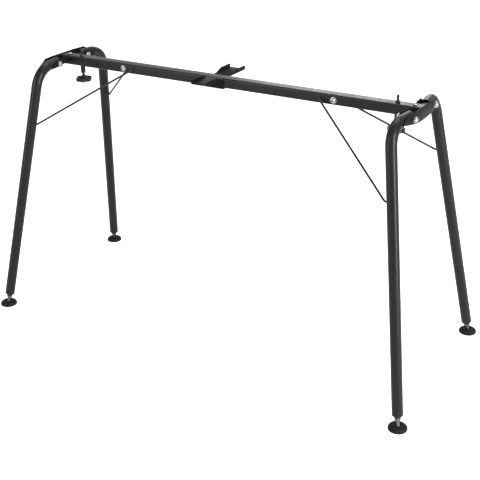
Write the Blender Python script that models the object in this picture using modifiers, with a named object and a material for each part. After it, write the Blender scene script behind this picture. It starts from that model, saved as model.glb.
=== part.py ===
"""A keyboard stand: four bent tube legs, one cross beam, rod stays, screw feet and two clamp knobs.

Metres, +Z up. The origin is on the floor under the middle of the beam. X runs along the beam, Y to the rear.
"""

import math

import bmesh
import bpy
from mathutils import Matrix, Vector

# Overall sizes. The legs lean outward both ways, from the crown's corners down to the feet.
FOOT_X = 0.567
FOOT_Y = 0.235
CROWN_X = 0.4675
CROWN_Y = 0.1245
CROWN_Z = 0.637
BEND_RADIUS = 0.050

# Above its bend each leg runs level toward the beam, leaning outward a little, and is cut off short of it.
CROWN_END_Y = 0.045
CROWN_LEAN = 0.12

# Gaps between neighbouring pieces.
GAP = 0.0003
RUNNING_GAP = 0.0004

# Leg tube, and the height where its cut ends stop above the floor.
TUBE_DIAMETER = 0.0254
TUBE_WALL = 0.0016
TUBE_END_Z = 0.034

# Cross beam, a rectangular tube with rounded edges.
BEAM_TOP_Z = 0.649
BEAM_HEIGHT = 0.0235
BEAM_DEPTH = 0.030
BEAM_WALL = 0.0015
BEAM_EDGE_RADIUS = 0.004

# Crescent plate that ties the two legs of a side together, bent to follow them, with a tongue in the beam.
OUTER_PLATE_THICKNESS = 0.003
OUTER_PLATE_TOP_Z = 0.651
OUTER_PLATE_HALF_LENGTH = 0.1025
OUTER_PLATE_FLAT_HALF = 0.075
OUTER_PLATE_BEND_Y = 0.042
OUTER_PLATE_TIP_Z = 0.634
OUTER_PLATE_BELLY_Z = 0.6215
TIP_HEIGHT = 0.003
TONGUE_LENGTH = 0.035
TONGUE_WIDTH = 0.022
TONGUE_THICKNESS = 0.003

# Small plate on the inner side of each leg's level end. Distances are from the bolt, outward and up.
INNER_PLATE_THICKNESS = 0.002
INNER_PLATE_TO_BEAM = 0.040
INNER_PLATE_TO_TIP = 0.030
INNER_PLATE_SLOPE = 0.012
INNER_PLATE_ABOVE = 0.0115
INNER_PLATE_BELOW = 0.007

# Bolt square to each leg's level end, its domed head outside and its nut inside.
FRAME_BOLT_Y = 0.057
FRAME_BOLT_DIAMETER = 0.008
FRAME_BOLT_FLATS = 0.013
FRAME_BOLT_HEX = 0.0055
FRAME_BOLT_HEAD = 0.0095
FRAME_NUT_HEIGHT = 0.0060
FRAME_BOLT_END = 0.0015

# Pan head screw from the beam's top into the plate's tongue.
END_SCREW_X = 0.470
END_SCREW_DIAMETER = 0.004
END_SCREW_HEAD = 0.010
END_SCREW_HEAD_HEIGHT = 0.004
END_SCREW_LENGTH = 0.008

# Rod stays from the legs up to the beam. The right front one is the longest, as it is in the photograph.
STAY_DIAMETER = 0.005
STAY_BEND_RADIUS = 0.008
LEFT_FRONT_STAY_LEG_Z = 0.5015
RIGHT_FRONT_STAY_LEG_Z = 0.4845
REAR_STAY_LEG_Z = 0.504
STAY_STANDOFF = 0.0045
STAY_IN_TUBE = 0.009
STAY_BEAM_Z = 0.637
LEFT_FRONT_STAY_X = -0.260
RIGHT_FRONT_STAY_X = 0.254
STAY_HOOK = 0.0045
STAY_EYE_DIAMETER = 0.016
STAY_EYE_NECK = 0.014

# Bolt along Y through the beam that holds each rear stay's eye.
STAY_BOLT_X = 0.288
STAY_BOLT_DIAMETER = 0.006
STAY_BOLT_HEAD = 0.0105
STAY_BOLT_HEAD_HEIGHT = 0.004
STAY_BOLT_RECESS_FLATS = 0.005
STAY_BOLT_RECESS = 0.0025
STAY_WASHER_DIAMETER = 0.015
STAY_WASHER_THICKNESS = 0.0013
STAY_NUT_FLATS = 0.010
STAY_NUT_HEIGHT = 0.005

# Centre bracket: a saddle under the beam with a level wing to the front and to the rear.
BRACKET_X = -0.018
BRACKET_WIDTH = 0.044
BRACKET_REACH = 0.085
BRACKET_THICKNESS = 0.002
BRACKET_FLANGE_HEIGHT = 0.010
BRACKET_FLANGE_RISE = 0.028
BRACKET_SCREW_DIAMETER = 0.006
BRACKET_SCREW_FLATS = 0.010
BRACKET_SCREW_HEAD = 0.004
BRACKET_SCREW_LENGTH = 0.012
BRACKET_NUT_HEIGHT = 0.005

# Clamp knobs under the beam, whose screws stand out above it.
KNOB_X = 0.4315
KNOB_DIAMETER = 0.042
KNOB_LOBES = 6
KNOB_LOBE_DEPTH = 0.0030
KNOB_THICKNESS = 0.010
KNOB_EDGE = 0.0015
KNOB_DROP = 0.032
KNOB_POINTS_PER_LOBE = 6
SCREW_DIAMETER = 0.006
SCREW_IN_KNOB = 0.008
SCREW_RISE = 0.017
SCREW_TIP_LENGTH = 0.002
SCREW_TIP_DIAMETER = 0.0042
COLLAR_DIAMETER = 0.012
COLLAR_LENGTH = 0.0218
COLLAR_IN_BEAM = 0.001
KNOB_NUT_FLATS = 0.010
KNOB_NUT_HEIGHT = 0.0035

# Levelling feet: insert in the tube, stud with a hex, and a disc that swivels on the stud's ball.
INSERT_BOTTOM_Z = 0.027
INSERT_BOTTOM_DIAMETER = 0.0155
INSERT_PLUG_LENGTH = 0.022
PLUG_CLEARANCE = 0.0006
STUD_DIAMETER = 0.008
STUD_LENGTH = 0.054
STUD_FLATS = 0.013
STUD_HEX_LENGTH = 0.0065
BALL_DIAMETER = 0.010
DISC_DIAMETER = 0.043
DISC_HEIGHT = 0.011
DISC_RIM_HEIGHT = 0.003
DISC_FLOOR = 0.0012
DISC_SHOULDER_DIAMETER = 0.019
SOCKET_FLARE = 0.001

# Facet counts.
TUBE_SIDES = 16
BEND_STEPS = 7
ROD_SIDES = 8
ROD_BEND_STEPS = 4
ROUND_SIDES = 16
SMALL_SIDES = 12
CORNER_STEPS = 3
ARC_STEPS = 8

SIDES = {"left": -1, "right": 1}
ENDS = {"front": -1, "rear": 1}
X_AXIS = Vector((1, 0, 0))
Y_AXIS = Vector((0, 1, 0))
Z_AXIS = Vector((0, 0, 1))

# Turns a flat outline so that its own x lies along Y and its own y along Z.
FACING_X = (math.pi / 2, 0.0, math.pi / 2)
# Turns a flat outline so that its own x lies along X and its own y along Z.
FACING_Y = (math.pi / 2, 0.0, 0.0)

WELD_DISTANCE = 0.000001
SHARP_ANGLE = math.radians(35)
CUT_MARGIN = 0.005


def clear_scene():
    """Removes whatever the scene holds."""
    for item in list(bpy.data.objects):
        bpy.data.objects.remove(item)


def new_collection(name):
    """A collection linked to the scene."""
    collection = bpy.data.collections.new(name)
    bpy.context.scene.collection.children.link(collection)
    return collection


def finish(name, colour, roughness, metallic):
    """A plain material with one colour."""
    material = bpy.data.materials.new(name)
    material.use_nodes = True
    shader = material.node_tree.nodes["Principled BSDF"]
    shader.inputs["Base Color"].default_value = (*colour, 1.0)
    shader.inputs["Roughness"].default_value = roughness
    shader.inputs["Metallic"].default_value = metallic
    return material


clear_scene()
PARTS = new_collection("keyboard_stand")
CUTTERS = new_collection("keyboard_stand_cutters")

FRAME_PAINT = ("frame_paint", (0.030, 0.028, 0.032), 0.42, 0.0)
PLATE_PAINT = ("plate_paint", (0.022, 0.021, 0.025), 0.48, 0.0)
ROD_PAINT = ("rod_paint", (0.020, 0.020, 0.022), 0.45, 0.0)
BRIGHT_ZINC = ("bright_zinc", (0.62, 0.62, 0.60), 0.30, 1.0)
DULL_ZINC = ("dull_zinc", (0.20, 0.20, 0.20), 0.45, 1.0)
BLACK_STEEL = ("black_steel", (0.014, 0.014, 0.015), 0.40, 0.0)
DARK_PLASTIC = ("dark_plastic", (0.012, 0.012, 0.013), 0.55, 0.0)
GREY_PLASTIC = ("grey_plastic", (0.050, 0.048, 0.052), 0.50, 0.0)


def weld(mesh):
    """Joins a converted curve's loose caps to its sides and turns every face outward."""
    shape = bmesh.new()
    shape.from_mesh(mesh)
    bmesh.ops.remove_doubles(shape, verts=shape.verts, dist=WELD_DISTANCE)
    bmesh.ops.recalc_face_normals(shape, faces=shape.faces)
    shape.to_mesh(mesh)
    shape.free()


def add_solid(name, mesh, collection):
    """A smooth shaded mesh object in a collection."""
    mesh.shade_smooth()
    mesh.set_sharp_from_angle(angle=SHARP_ANGLE)
    solid = bpy.data.objects.new(name, mesh)
    collection.objects.link(solid)
    if collection == CUTTERS:
        solid.hide_render = True
        solid.display_type = "WIRE"
    return solid


def curve_solid(name, curve, collection):
    """The solid of a curve as a mesh object, its caps welded to its sides."""
    source = bpy.data.objects.new(name + "_curve", curve)
    collection.objects.link(source)
    graph = bpy.context.evaluated_depsgraph_get()
    mesh = bpy.data.meshes.new_from_object(source.evaluated_get(graph))
    place = source.matrix_world.copy()
    bpy.data.objects.remove(source)
    weld(mesh)
    solid = add_solid(name, mesh, collection)
    solid.matrix_world = place
    return solid


def add_spline(curve, points, closed):
    """A straight sided spline through the points."""
    spline = curve.splines.new("POLY")
    spline.points.add(len(points) - 1)
    spline.use_cyclic_u = closed
    for place, point in zip(spline.points, points):
        flat = tuple(point) + (0.0,) * (3 - len(point))
        place.co = (*flat, 1.0)


def bar(name, path, diameter, sides, collection=PARTS):
    """A round bar along a path."""
    curve = bpy.data.curves.new(name, "CURVE")
    curve.dimensions = "3D"
    curve.bevel_depth = diameter / 2
    curve.bevel_resolution = (sides - 4) // 2
    curve.use_fill_caps = True
    add_spline(curve, path, closed=False)
    return curve_solid(name, curve, collection)


def sheet(name, outlines, thickness, centre, turn, collection=PARTS):
    """Flat stock cut to closed outlines, the inner ones holes, centred in its thickness."""
    curve = bpy.data.curves.new(name, "CURVE")
    curve.dimensions = "2D"
    curve.fill_mode = "BOTH"
    curve.extrude = thickness / 2
    for outline in outlines:
        add_spline(curve, outline, closed=True)
    solid = curve_solid(name, curve, collection)
    solid.location = centre
    solid.rotation_euler = turn
    return solid


def aim(solid, base, direction):
    """Puts an object's origin at base and its own Z along the direction."""
    solid.location = base
    solid.rotation_mode = "QUATERNION"
    solid.rotation_quaternion = Vector(direction).to_track_quat("Z", "Y")
    return solid


def prism(name, sides, diameter, length, base, direction, collection=PARTS):
    """A cylinder or a regular prism that starts at base and runs along the direction."""
    shape = bmesh.new()
    lift = Matrix.Translation((0.0, 0.0, length / 2))
    bmesh.ops.create_cone(shape, cap_ends=True, segments=sides, radius1=diameter / 2,
                          radius2=diameter / 2, depth=length, matrix=lift)
    mesh = bpy.data.meshes.new(name)
    shape.to_mesh(mesh)
    shape.free()
    return aim(add_solid(name, mesh, collection), base, direction)


def hexagon(name, flats, length, base, direction, collection=PARTS):
    """A hexagonal prism given across its flats."""
    across_corners = flats / math.cos(math.pi / 6)
    return prism(name, 6, across_corners, length, base, direction, collection)


def turned(name, profile, steps, base, direction, collection=PARTS):
    """A solid of revolution. The profile is (radius, height) down the outer side, closed if it is a ring."""
    mesh = bpy.data.meshes.new(name)
    points = [(radius, 0.0, height) for radius, height in profile]
    edges = [(index, index + 1) for index in range(len(points) - 1)]
    if profile[0][0] > 0:
        edges.append((len(points) - 1, 0))
    mesh.from_pydata(points, edges, [])
    solid = add_solid(name, mesh, collection)
    screw = solid.modifiers.new("turn", "SCREW")
    screw.steps = steps
    screw.render_steps = steps
    screw.use_merge_vertices = True
    screw.merge_threshold = WELD_DISTANCE
    return aim(solid, base, direction)


def boolean(solid, tool, operation):
    """Cuts a tool from a solid, or joins it to the solid."""
    modifier = solid.modifiers.new(tool.name, "BOOLEAN")
    modifier.operation = operation
    modifier.solver = "EXACT"
    modifier.object = tool


def cut(solid, *tools):
    """Cuts the tools from the solid."""
    for tool in tools:
        boolean(solid, tool, "DIFFERENCE")


def join(solid, *tools):
    """Joins the tools to the solid."""
    for tool in tools:
        boolean(solid, tool, "UNION")


def hole(name, diameter, start, end):
    """A round cutter between two points, run on past both by a margin."""
    along = (end - start).normalized()
    length = (end - start).length + 2 * CUT_MARGIN
    return prism(name, SMALL_SIDES, diameter, length, start - along * CUT_MARGIN, along, CUTTERS)


def paint(solid, look):
    """Gives a piece a material of its own."""
    name, colour, roughness, metallic = look
    material = finish(solid.name + "_" + name, colour, roughness, metallic)
    solid.data.materials.clear()
    solid.data.materials.append(material)
    return solid


def rounded_path(corners, radius, steps):
    """The corners joined by straight runs, each inner corner rounded to an arc."""
    path = [corners[0]]
    for before, corner, after in zip(corners, corners[1:], corners[2:]):
        into = (corner - before).normalized()
        out = (after - corner).normalized()
        half_turn = into.angle(out) / 2
        start = corner - into * radius * math.tan(half_turn)
        centre = corner + (out - into).normalized() * radius / math.cos(half_turn)
        axis = into.cross(out)
        for step in range(steps + 1):
            turn = Matrix.Rotation(2 * half_turn * step / steps, 3, axis)
            path.append(centre + turn @ (start - centre))
    path.append(corners[-1])
    return path


def arc(centre, radius, first, last, steps):
    """Points on a flat arc between two angles."""
    points = []
    for step in range(steps + 1):
        angle = first + (last - first) * step / steps
        points.append((centre[0] + radius * math.cos(angle), centre[1] + radius * math.sin(angle)))
    return points


def rectangle(width, height):
    """The outline of a rectangle centred on the origin."""
    return [(width / 2, height / 2), (-width / 2, height / 2), (-width / 2, -height / 2),
            (width / 2, -height / 2)]


def rounded_rectangle(width, height, radius):
    """The outline of a rectangle with rounded corners, centred on the origin."""
    points = []
    for quarter, (across, up) in enumerate(((1, 1), (-1, 1), (-1, -1), (1, -1))):
        centre = (across * (width / 2 - radius), up * (height / 2 - radius))
        first = quarter * math.pi / 2
        points += arc(centre, radius, first, first + math.pi / 2, CORNER_STEPS)
    return points


def leg_point(side, end, height):
    """The point of a leg's centre line at a height."""
    foot = Vector((side * FOOT_X, end * FOOT_Y, 0.0))
    corner = Vector((side * CROWN_X, end * CROWN_Y, CROWN_Z))
    return foot.lerp(corner, height / CROWN_Z)


def leg_direction(side, end):
    """The unit vector up a leg's centre line."""
    return (leg_point(side, end, CROWN_Z) - leg_point(side, end, 0.0)).normalized()


def along_leg(rise):
    """The length along a leg for a rise in height."""
    return rise / leg_direction(1, 1).z


def crown_point(side, end, across):
    """The point of a leg's level centre line at a distance from the beam's centre line."""
    return Vector((side * (CROWN_X + CROWN_LEAN * (CROWN_Y - across)), end * across, CROWN_Z))


def crown_outward(side, end):
    """The level unit vector out of the stand, square to a leg's level end."""
    return Vector((side, end * CROWN_LEAN, 0.0)).normalized()


TUBE_RADIUS = TUBE_DIAMETER / 2
LEAN_ANGLE = math.atan(CROWN_LEAN)
OUTER_PLATE_OFFSET = (TUBE_RADIUS + GAP) / math.cos(LEAN_ANGLE)
OUTER_PLATE_X = crown_point(1, 1, OUTER_PLATE_BEND_Y).x + OUTER_PLATE_OFFSET
BEAM_HALF_LENGTH = OUTER_PLATE_X - GAP
BEAM_BOTTOM_Z = BEAM_TOP_Z - BEAM_HEIGHT
BEAM_FACE_Y = BEAM_DEPTH / 2
INNER_SEAT = TUBE_RADIUS + INNER_PLATE_THICKNESS + 2 * GAP
OUTER_SEAT = TUBE_RADIUS + OUTER_PLATE_THICKNESS + 2 * GAP
FRAME_BOLT_HOLE = FRAME_BOLT_DIAMETER + 2 * GAP
STAY_HOLE = STAY_DIAMETER + 2 * RUNNING_GAP
STAY_BOLT_HOLE = STAY_BOLT_DIAMETER + 2 * GAP
SCREW_HOLE = SCREW_DIAMETER + 2 * RUNNING_GAP
COLLAR_HOLE = COLLAR_DIAMETER + 2 * RUNNING_GAP
BRACKET_SCREW_HOLE = BRACKET_SCREW_DIAMETER + 2 * GAP
END_SCREW_HOLE = END_SCREW_DIAMETER + 2 * GAP
BALL_Z = DISC_FLOOR + GAP + BALL_DIAMETER / 2


def leg_path(side, end, overrun):
    """A leg's centre line, up from its foot, round its bend and level toward the beam."""
    foot = leg_point(side, end, TUBE_END_Z)
    corner = leg_point(side, end, CROWN_Z)
    stop = crown_point(side, end, CROWN_END_Y)
    level = (stop - corner).normalized()
    corners = [foot - leg_direction(side, end) * overrun, corner, stop + level * overrun]
    return rounded_path(corners, BEND_RADIUS, BEND_STEPS)


def frame_bolt_hole(name, side, end):
    """The cutter for a bolt through a leg and its plates."""
    middle = crown_point(side, end, FRAME_BOLT_Y)
    outward = crown_outward(side, end)
    return hole(name, FRAME_BOLT_HOLE, middle - outward * INNER_SEAT, middle + outward * OUTER_SEAT)


def end_screw_hole(name, side):
    """The cutter for the screw through the beam's top wall and the tongue under it."""
    low = Vector((side * END_SCREW_X, 0.0, BEAM_TOP_Z - BEAM_WALL - TONGUE_THICKNESS))
    high = Vector((side * END_SCREW_X, 0.0, BEAM_TOP_Z))
    return hole(name, END_SCREW_HOLE, low, high)


def make_leg(side_name, side, end_name, end):
    """One leg, a hollow tube with one bend, open at both ends."""
    leg = bar(f"leg_{side_name}_{end_name}", leg_path(side, end, 0.0), TUBE_DIAMETER, TUBE_SIDES)
    bore = bar(leg.name + "_bore", leg_path(side, end, CUT_MARGIN), TUBE_DIAMETER - 2 * TUBE_WALL,
               TUBE_SIDES, CUTTERS)
    inside = leg_point(side, end, stay_leg_z(side, end))
    entry = prism(leg.name + "_stay_hole", SMALL_SIDES, STAY_HOLE, TUBE_DIAMETER, inside,
                  -X_AXIS * side, CUTTERS)
    cut(leg, bore, frame_bolt_hole(leg.name + "_bolt_hole", side, end), entry)
    return paint(leg, FRAME_PAINT)


def crescent():
    """The outline of an outer plate: straight on top, falling to small tips, with a curved belly."""
    chord = OUTER_PLATE_HALF_LENGTH
    sag = OUTER_PLATE_TIP_Z - OUTER_PLATE_BELLY_Z
    radius = (chord ** 2 + sag ** 2) / (2 * sag)
    half_angle = math.asin(chord / radius)
    belly = arc((0.0, OUTER_PLATE_BELLY_Z + radius), radius, -math.pi / 2 - half_angle,
                -math.pi / 2 + half_angle, ARC_STEPS)
    tip_z = OUTER_PLATE_TIP_Z + TIP_HEIGHT
    flat = OUTER_PLATE_FLAT_HALF
    return belly + [(chord, tip_z), (flat, OUTER_PLATE_TOP_Z), (-flat, OUTER_PLATE_TOP_Z), (-chord, tip_z)]


def bent_strip(side):
    """The plan of an outer plate: flat past the beam's end, then leaning back along each leg."""
    thickness = OUTER_PLATE_THICKNESS / math.cos(LEAN_ANGLE)
    end_y = OUTER_PLATE_HALF_LENGTH + CUT_MARGIN
    end_x = OUTER_PLATE_X - CROWN_LEAN * (end_y - OUTER_PLATE_BEND_Y)
    inner = [(end_x, end_y), (OUTER_PLATE_X, OUTER_PLATE_BEND_Y)]
    inner += [(across, -along) for across, along in reversed(inner)]
    outer = [(across + thickness, along) for across, along in reversed(inner)]
    return [(side * across, along) for across, along in inner + outer]


def make_outer_plate(side_name, side):
    """The crescent plate outside a side's two legs, with the tongue that enters the beam."""
    height = 2 * (OUTER_PLATE_TOP_Z - OUTER_PLATE_BELLY_Z)
    plate = sheet(f"outer_plate_{side_name}", [bent_strip(side)], height, (0.0, 0.0, OUTER_PLATE_TIP_Z),
                  (0.0, 0.0, 0.0))
    profile = sheet(plate.name + "_profile", [crescent()], TUBE_DIAMETER * 2,
                    (side * OUTER_PLATE_X, 0.0, 0.0), FACING_X, CUTTERS)
    boolean(plate, profile, "INTERSECT")
    tongue_z = BEAM_TOP_Z - BEAM_WALL - GAP - TONGUE_THICKNESS / 2
    tongue_length = TONGUE_LENGTH + OUTER_PLATE_THICKNESS / 2
    tongue_x = OUTER_PLATE_X - TONGUE_LENGTH + tongue_length / 2
    tongue = sheet(plate.name + "_tongue", [rectangle(tongue_length, TONGUE_WIDTH)], TONGUE_THICKNESS,
                   (side * tongue_x, 0.0, tongue_z), (0.0, 0.0, 0.0), CUTTERS)
    join(plate, tongue)
    cut(plate, end_screw_hole(plate.name + "_screw_hole", side))
    for end_name, end in ENDS.items():
        relief = bar(f"{plate.name}_{end_name}_relief", leg_path(side, end, CUT_MARGIN),
                     TUBE_DIAMETER + 2 * GAP, TUBE_SIDES, CUTTERS)
        cut(plate, relief, frame_bolt_hole(f"{plate.name}_{end_name}_bolt_hole", side, end))
    return paint(plate, PLATE_PAINT)


def make_inner_plate(side_name, side, end_name, end):
    """The small plate on the inner side of a leg's level end, with one sloping end."""
    outline = [(-INNER_PLATE_TO_BEAM, -INNER_PLATE_BELOW * 0.7), (INNER_PLATE_TO_TIP, -INNER_PLATE_BELOW),
               (INNER_PLATE_TO_TIP - INNER_PLATE_SLOPE, INNER_PLATE_ABOVE),
               (-INNER_PLATE_TO_BEAM, INNER_PLATE_ABOVE)]
    outline = [(end * along, up) for along, up in outline]
    offset = TUBE_RADIUS + GAP + INNER_PLATE_THICKNESS / 2
    centre = crown_point(side, end, FRAME_BOLT_Y) - crown_outward(side, end) * offset
    turn = (FACING_X[0], FACING_X[1], FACING_X[2] + side * end * LEAN_ANGLE)
    plate = sheet(f"inner_plate_{side_name}_{end_name}", [outline], INNER_PLATE_THICKNESS, centre, turn)
    relief = bar(plate.name + "_relief", leg_path(side, end, CUT_MARGIN), TUBE_DIAMETER + 2 * GAP,
                 TUBE_SIDES, CUTTERS)
    cut(plate, relief, frame_bolt_hole(plate.name + "_bolt_hole", side, end))
    return paint(plate, PLATE_PAINT)


def make_frame_bolt(side_name, side, end_name, end):
    """The domed hex bolt through a leg and its plates, with its nut."""
    outward = crown_outward(side, end)
    middle = crown_point(side, end, FRAME_BOLT_Y)
    seat = middle + outward * OUTER_SEAT
    nut_seat = middle - outward * INNER_SEAT
    bolt = hexagon(f"frame_bolt_{side_name}_{end_name}", FRAME_BOLT_FLATS, FRAME_BOLT_HEX, seat, outward)
    reach = (seat - nut_seat).length + FRAME_NUT_HEIGHT + FRAME_BOLT_END
    shank = prism(bolt.name + "_shank", SMALL_SIDES, FRAME_BOLT_DIAMETER, reach + FRAME_BOLT_HEX / 2,
                  seat - outward * reach, outward, CUTTERS)
    dome_radius = FRAME_BOLT_FLATS * 0.47
    profile = [(0.0, FRAME_BOLT_HEAD), (dome_radius * 0.5, FRAME_BOLT_HEAD * 0.96),
               (dome_radius * 0.85, FRAME_BOLT_HEAD * 0.82), (dome_radius, FRAME_BOLT_HEX * 0.9),
               (dome_radius, FRAME_BOLT_HEX / 2), (0.0, FRAME_BOLT_HEX / 2)]
    dome = turned(bolt.name + "_dome", profile, ROUND_SIDES, seat, outward, CUTTERS)
    join(bolt, shank, dome)
    paint(bolt, BRIGHT_ZINC)
    nut = hex_nut(f"frame_nut_{side_name}_{end_name}", FRAME_BOLT_FLATS, FRAME_BOLT_HOLE,
                  FRAME_NUT_HEIGHT, nut_seat, -outward)
    paint(nut, BRIGHT_ZINC)


def make_beam():
    """The cross beam, hollow and open at both ends, with its holes."""
    outer = rounded_rectangle(BEAM_DEPTH, BEAM_HEIGHT, BEAM_EDGE_RADIUS)
    inner = rounded_rectangle(BEAM_DEPTH - 2 * BEAM_WALL, BEAM_HEIGHT - 2 * BEAM_WALL,
                              BEAM_EDGE_RADIUS - BEAM_WALL)
    centre = (0.0, 0.0, BEAM_TOP_Z - BEAM_HEIGHT / 2)
    beam = sheet("beam", [outer, inner], 2 * BEAM_HALF_LENGTH, centre, FACING_X)
    middle_z = BEAM_TOP_Z - BEAM_HEIGHT / 2
    for side_name, side in SIDES.items():
        middle = Vector((side * KNOB_X, 0.0, middle_z))
        top = Vector((side * KNOB_X, 0.0, BEAM_TOP_Z))
        bottom = Vector((side * KNOB_X, 0.0, BEAM_BOTTOM_Z - CUT_MARGIN))
        cut(beam, prism(f"beam_{side_name}_screw_hole", SMALL_SIDES, SCREW_HOLE,
                        (top - middle).length + CUT_MARGIN, middle, Z_AXIS, CUTTERS))
        cut(beam, prism(f"beam_{side_name}_collar_hole", SMALL_SIDES, COLLAR_HOLE,
                        (middle - bottom).length, bottom, Z_AXIS, CUTTERS))
        front = Vector((side * STAY_BOLT_X, -BEAM_FACE_Y, STAY_BEAM_Z))
        rear = Vector((side * STAY_BOLT_X, BEAM_FACE_Y, STAY_BEAM_Z))
        cut(beam, hole(f"beam_{side_name}_bolt_hole", STAY_BOLT_HOLE, front, rear))
        hook = Vector((front_stay_x(side), -BEAM_FACE_Y - CUT_MARGIN, STAY_BEAM_Z))
        cut(beam, prism(f"beam_{side_name}_hook_hole", SMALL_SIDES, STAY_HOLE, BEAM_FACE_Y,
                        hook, Y_AXIS, CUTTERS))
        cut(beam, end_screw_hole(f"beam_{side_name}_end_screw_hole", side))
    under = Vector((BRACKET_X, 0.0, BEAM_BOTTOM_Z - CUT_MARGIN))
    cut(beam, prism("beam_bracket_hole", SMALL_SIDES, BRACKET_SCREW_HOLE,
                    middle_z - under.z, under, Z_AXIS, CUTTERS))
    return paint(beam, FRAME_PAINT)


def make_end_screw(side_name, side):
    """The pan head screw that holds a plate's tongue up against the beam's top wall."""
    seat = Vector((side * END_SCREW_X, 0.0, BEAM_TOP_Z + GAP))
    radius = END_SCREW_HEAD / 2
    shank = END_SCREW_DIAMETER / 2
    height = END_SCREW_HEAD_HEIGHT
    profile = [(0.0, height), (radius * 0.6, height * 0.93), (radius * 0.9, height * 0.6),
               (radius, height * 0.15), (radius, 0.0), (shank, 0.0), (shank, -END_SCREW_LENGTH),
               (0.0, -END_SCREW_LENGTH)]
    paint(turned(f"end_screw_{side_name}", profile, SMALL_SIDES, seat, Z_AXIS), BRIGHT_ZINC)


def stay_leg_z(side, end):
    """The height at which a stay enters its leg."""
    if end > 0:
        return REAR_STAY_LEG_Z
    return LEFT_FRONT_STAY_LEG_Z if side < 0 else RIGHT_FRONT_STAY_LEG_Z


def front_stay_x(side):
    """Where a front stay hooks into the beam."""
    return LEFT_FRONT_STAY_X if side < 0 else RIGHT_FRONT_STAY_X


def stay_corners(side, end):
    """A stay's first two path points: inside the leg's tube, and the bend beside it."""
    axis_point = leg_point(side, end, stay_leg_z(side, end))
    inside = axis_point - X_AXIS * side * (TUBE_RADIUS - STAY_IN_TUBE)
    beside = axis_point - X_AXIS * side * (TUBE_RADIUS + STAY_STANDOFF)
    return inside, beside


def make_front_stay(side_name, side):
    """A rod hooked into the front leg and into the beam's front face."""
    inside, beside = stay_corners(side, -1)
    upper = Vector((front_stay_x(side), -BEAM_FACE_Y - STAY_STANDOFF, STAY_BEAM_Z))
    hooked = upper + Y_AXIS * (STAY_STANDOFF + STAY_HOOK)
    path = rounded_path([inside, beside, upper, hooked], STAY_BEND_RADIUS, ROD_BEND_STEPS)
    paint(bar(f"stay_{side_name}_front", path, STAY_DIAMETER, ROD_SIDES), ROD_PAINT)


def make_rear_stay(side_name, side):
    """A rod hooked into the rear leg, with an eye round the bolt behind the beam."""
    inside, beside = stay_corners(side, 1)
    eye_centre = Vector((side * STAY_BOLT_X, BEAM_FACE_Y + GAP + STAY_DIAMETER / 2, STAY_BEAM_Z))
    fall = beside - eye_centre
    fall.y = 0.0
    fall.normalize()
    bend = eye_centre + fall * STAY_EYE_NECK
    tail = eye_centre + fall * (STAY_BOLT_HOLE / 2 + STAY_DIAMETER / 2)
    path = rounded_path([inside, beside, bend, tail], STAY_BEND_RADIUS, ROD_BEND_STEPS)
    stay = bar(f"stay_{side_name}_rear", path, STAY_DIAMETER, ROD_SIDES)
    face = eye_centre - Y_AXIS * STAY_DIAMETER / 2
    eye = prism(stay.name + "_eye", ROUND_SIDES, STAY_EYE_DIAMETER, STAY_DIAMETER, face, Y_AXIS, CUTTERS)
    join(stay, eye)
    cut(stay, hole(stay.name + "_eye_hole", STAY_BOLT_HOLE, face, face + Y_AXIS * STAY_DIAMETER))
    paint(stay, ROD_PAINT)


def ring(name, outer, inner, length, base, direction):
    """A plain ring, such as a washer or a collar."""
    profile = [(outer / 2, length), (outer / 2, 0.0), (inner / 2, 0.0), (inner / 2, length)]
    return turned(name, profile, ROUND_SIDES, base, direction)


def hex_nut(name, flats, bore, height, base, direction):
    """A hexagon nut."""
    nut = hexagon(name, flats, height, base, direction)
    end = base + Vector(direction) * height
    cut(nut, hole(name + "_bore", bore, base, end))
    return nut


def make_stay_bolt(side_name, side):
    """The socket head bolt through the beam, with a washer in front and a nut behind the stay's eye."""
    front = Vector((side * STAY_BOLT_X, -BEAM_FACE_Y - GAP, STAY_BEAM_Z))
    washer = ring(f"stay_washer_{side_name}", STAY_WASHER_DIAMETER, STAY_BOLT_HOLE,
                  STAY_WASHER_THICKNESS, front, -Y_AXIS)
    paint(washer, BRIGHT_ZINC)
    seat = front - Y_AXIS * (STAY_WASHER_THICKNESS + GAP)
    nut_y = BEAM_FACE_Y + STAY_DIAMETER + 2 * GAP
    reach = nut_y - seat.y + STAY_NUT_HEIGHT + GAP
    head = STAY_BOLT_HEAD / 2
    shank = STAY_BOLT_DIAMETER / 2
    profile = [(0.0, STAY_BOLT_HEAD_HEIGHT), (head * 0.8, STAY_BOLT_HEAD_HEIGHT),
               (head, STAY_BOLT_HEAD_HEIGHT * 0.7), (head, 0.0), (shank, 0.0), (shank, -reach),
               (0.0, -reach)]
    bolt = turned(f"stay_bolt_{side_name}", profile, ROUND_SIDES, seat, -Y_AXIS)
    recess_base = seat - Y_AXIS * (STAY_BOLT_HEAD_HEIGHT - STAY_BOLT_RECESS)
    cut(bolt, hexagon(bolt.name + "_recess", STAY_BOLT_RECESS_FLATS, STAY_BOLT_RECESS + CUT_MARGIN,
                      recess_base, -Y_AXIS, CUTTERS))
    paint(bolt, BRIGHT_ZINC)
    nut = hex_nut(f"stay_nut_{side_name}", STAY_NUT_FLATS, STAY_BOLT_HOLE, STAY_NUT_HEIGHT,
                  Vector((side * STAY_BOLT_X, nut_y, STAY_BEAM_Z)), Y_AXIS)
    paint(nut, BRIGHT_ZINC)


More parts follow.
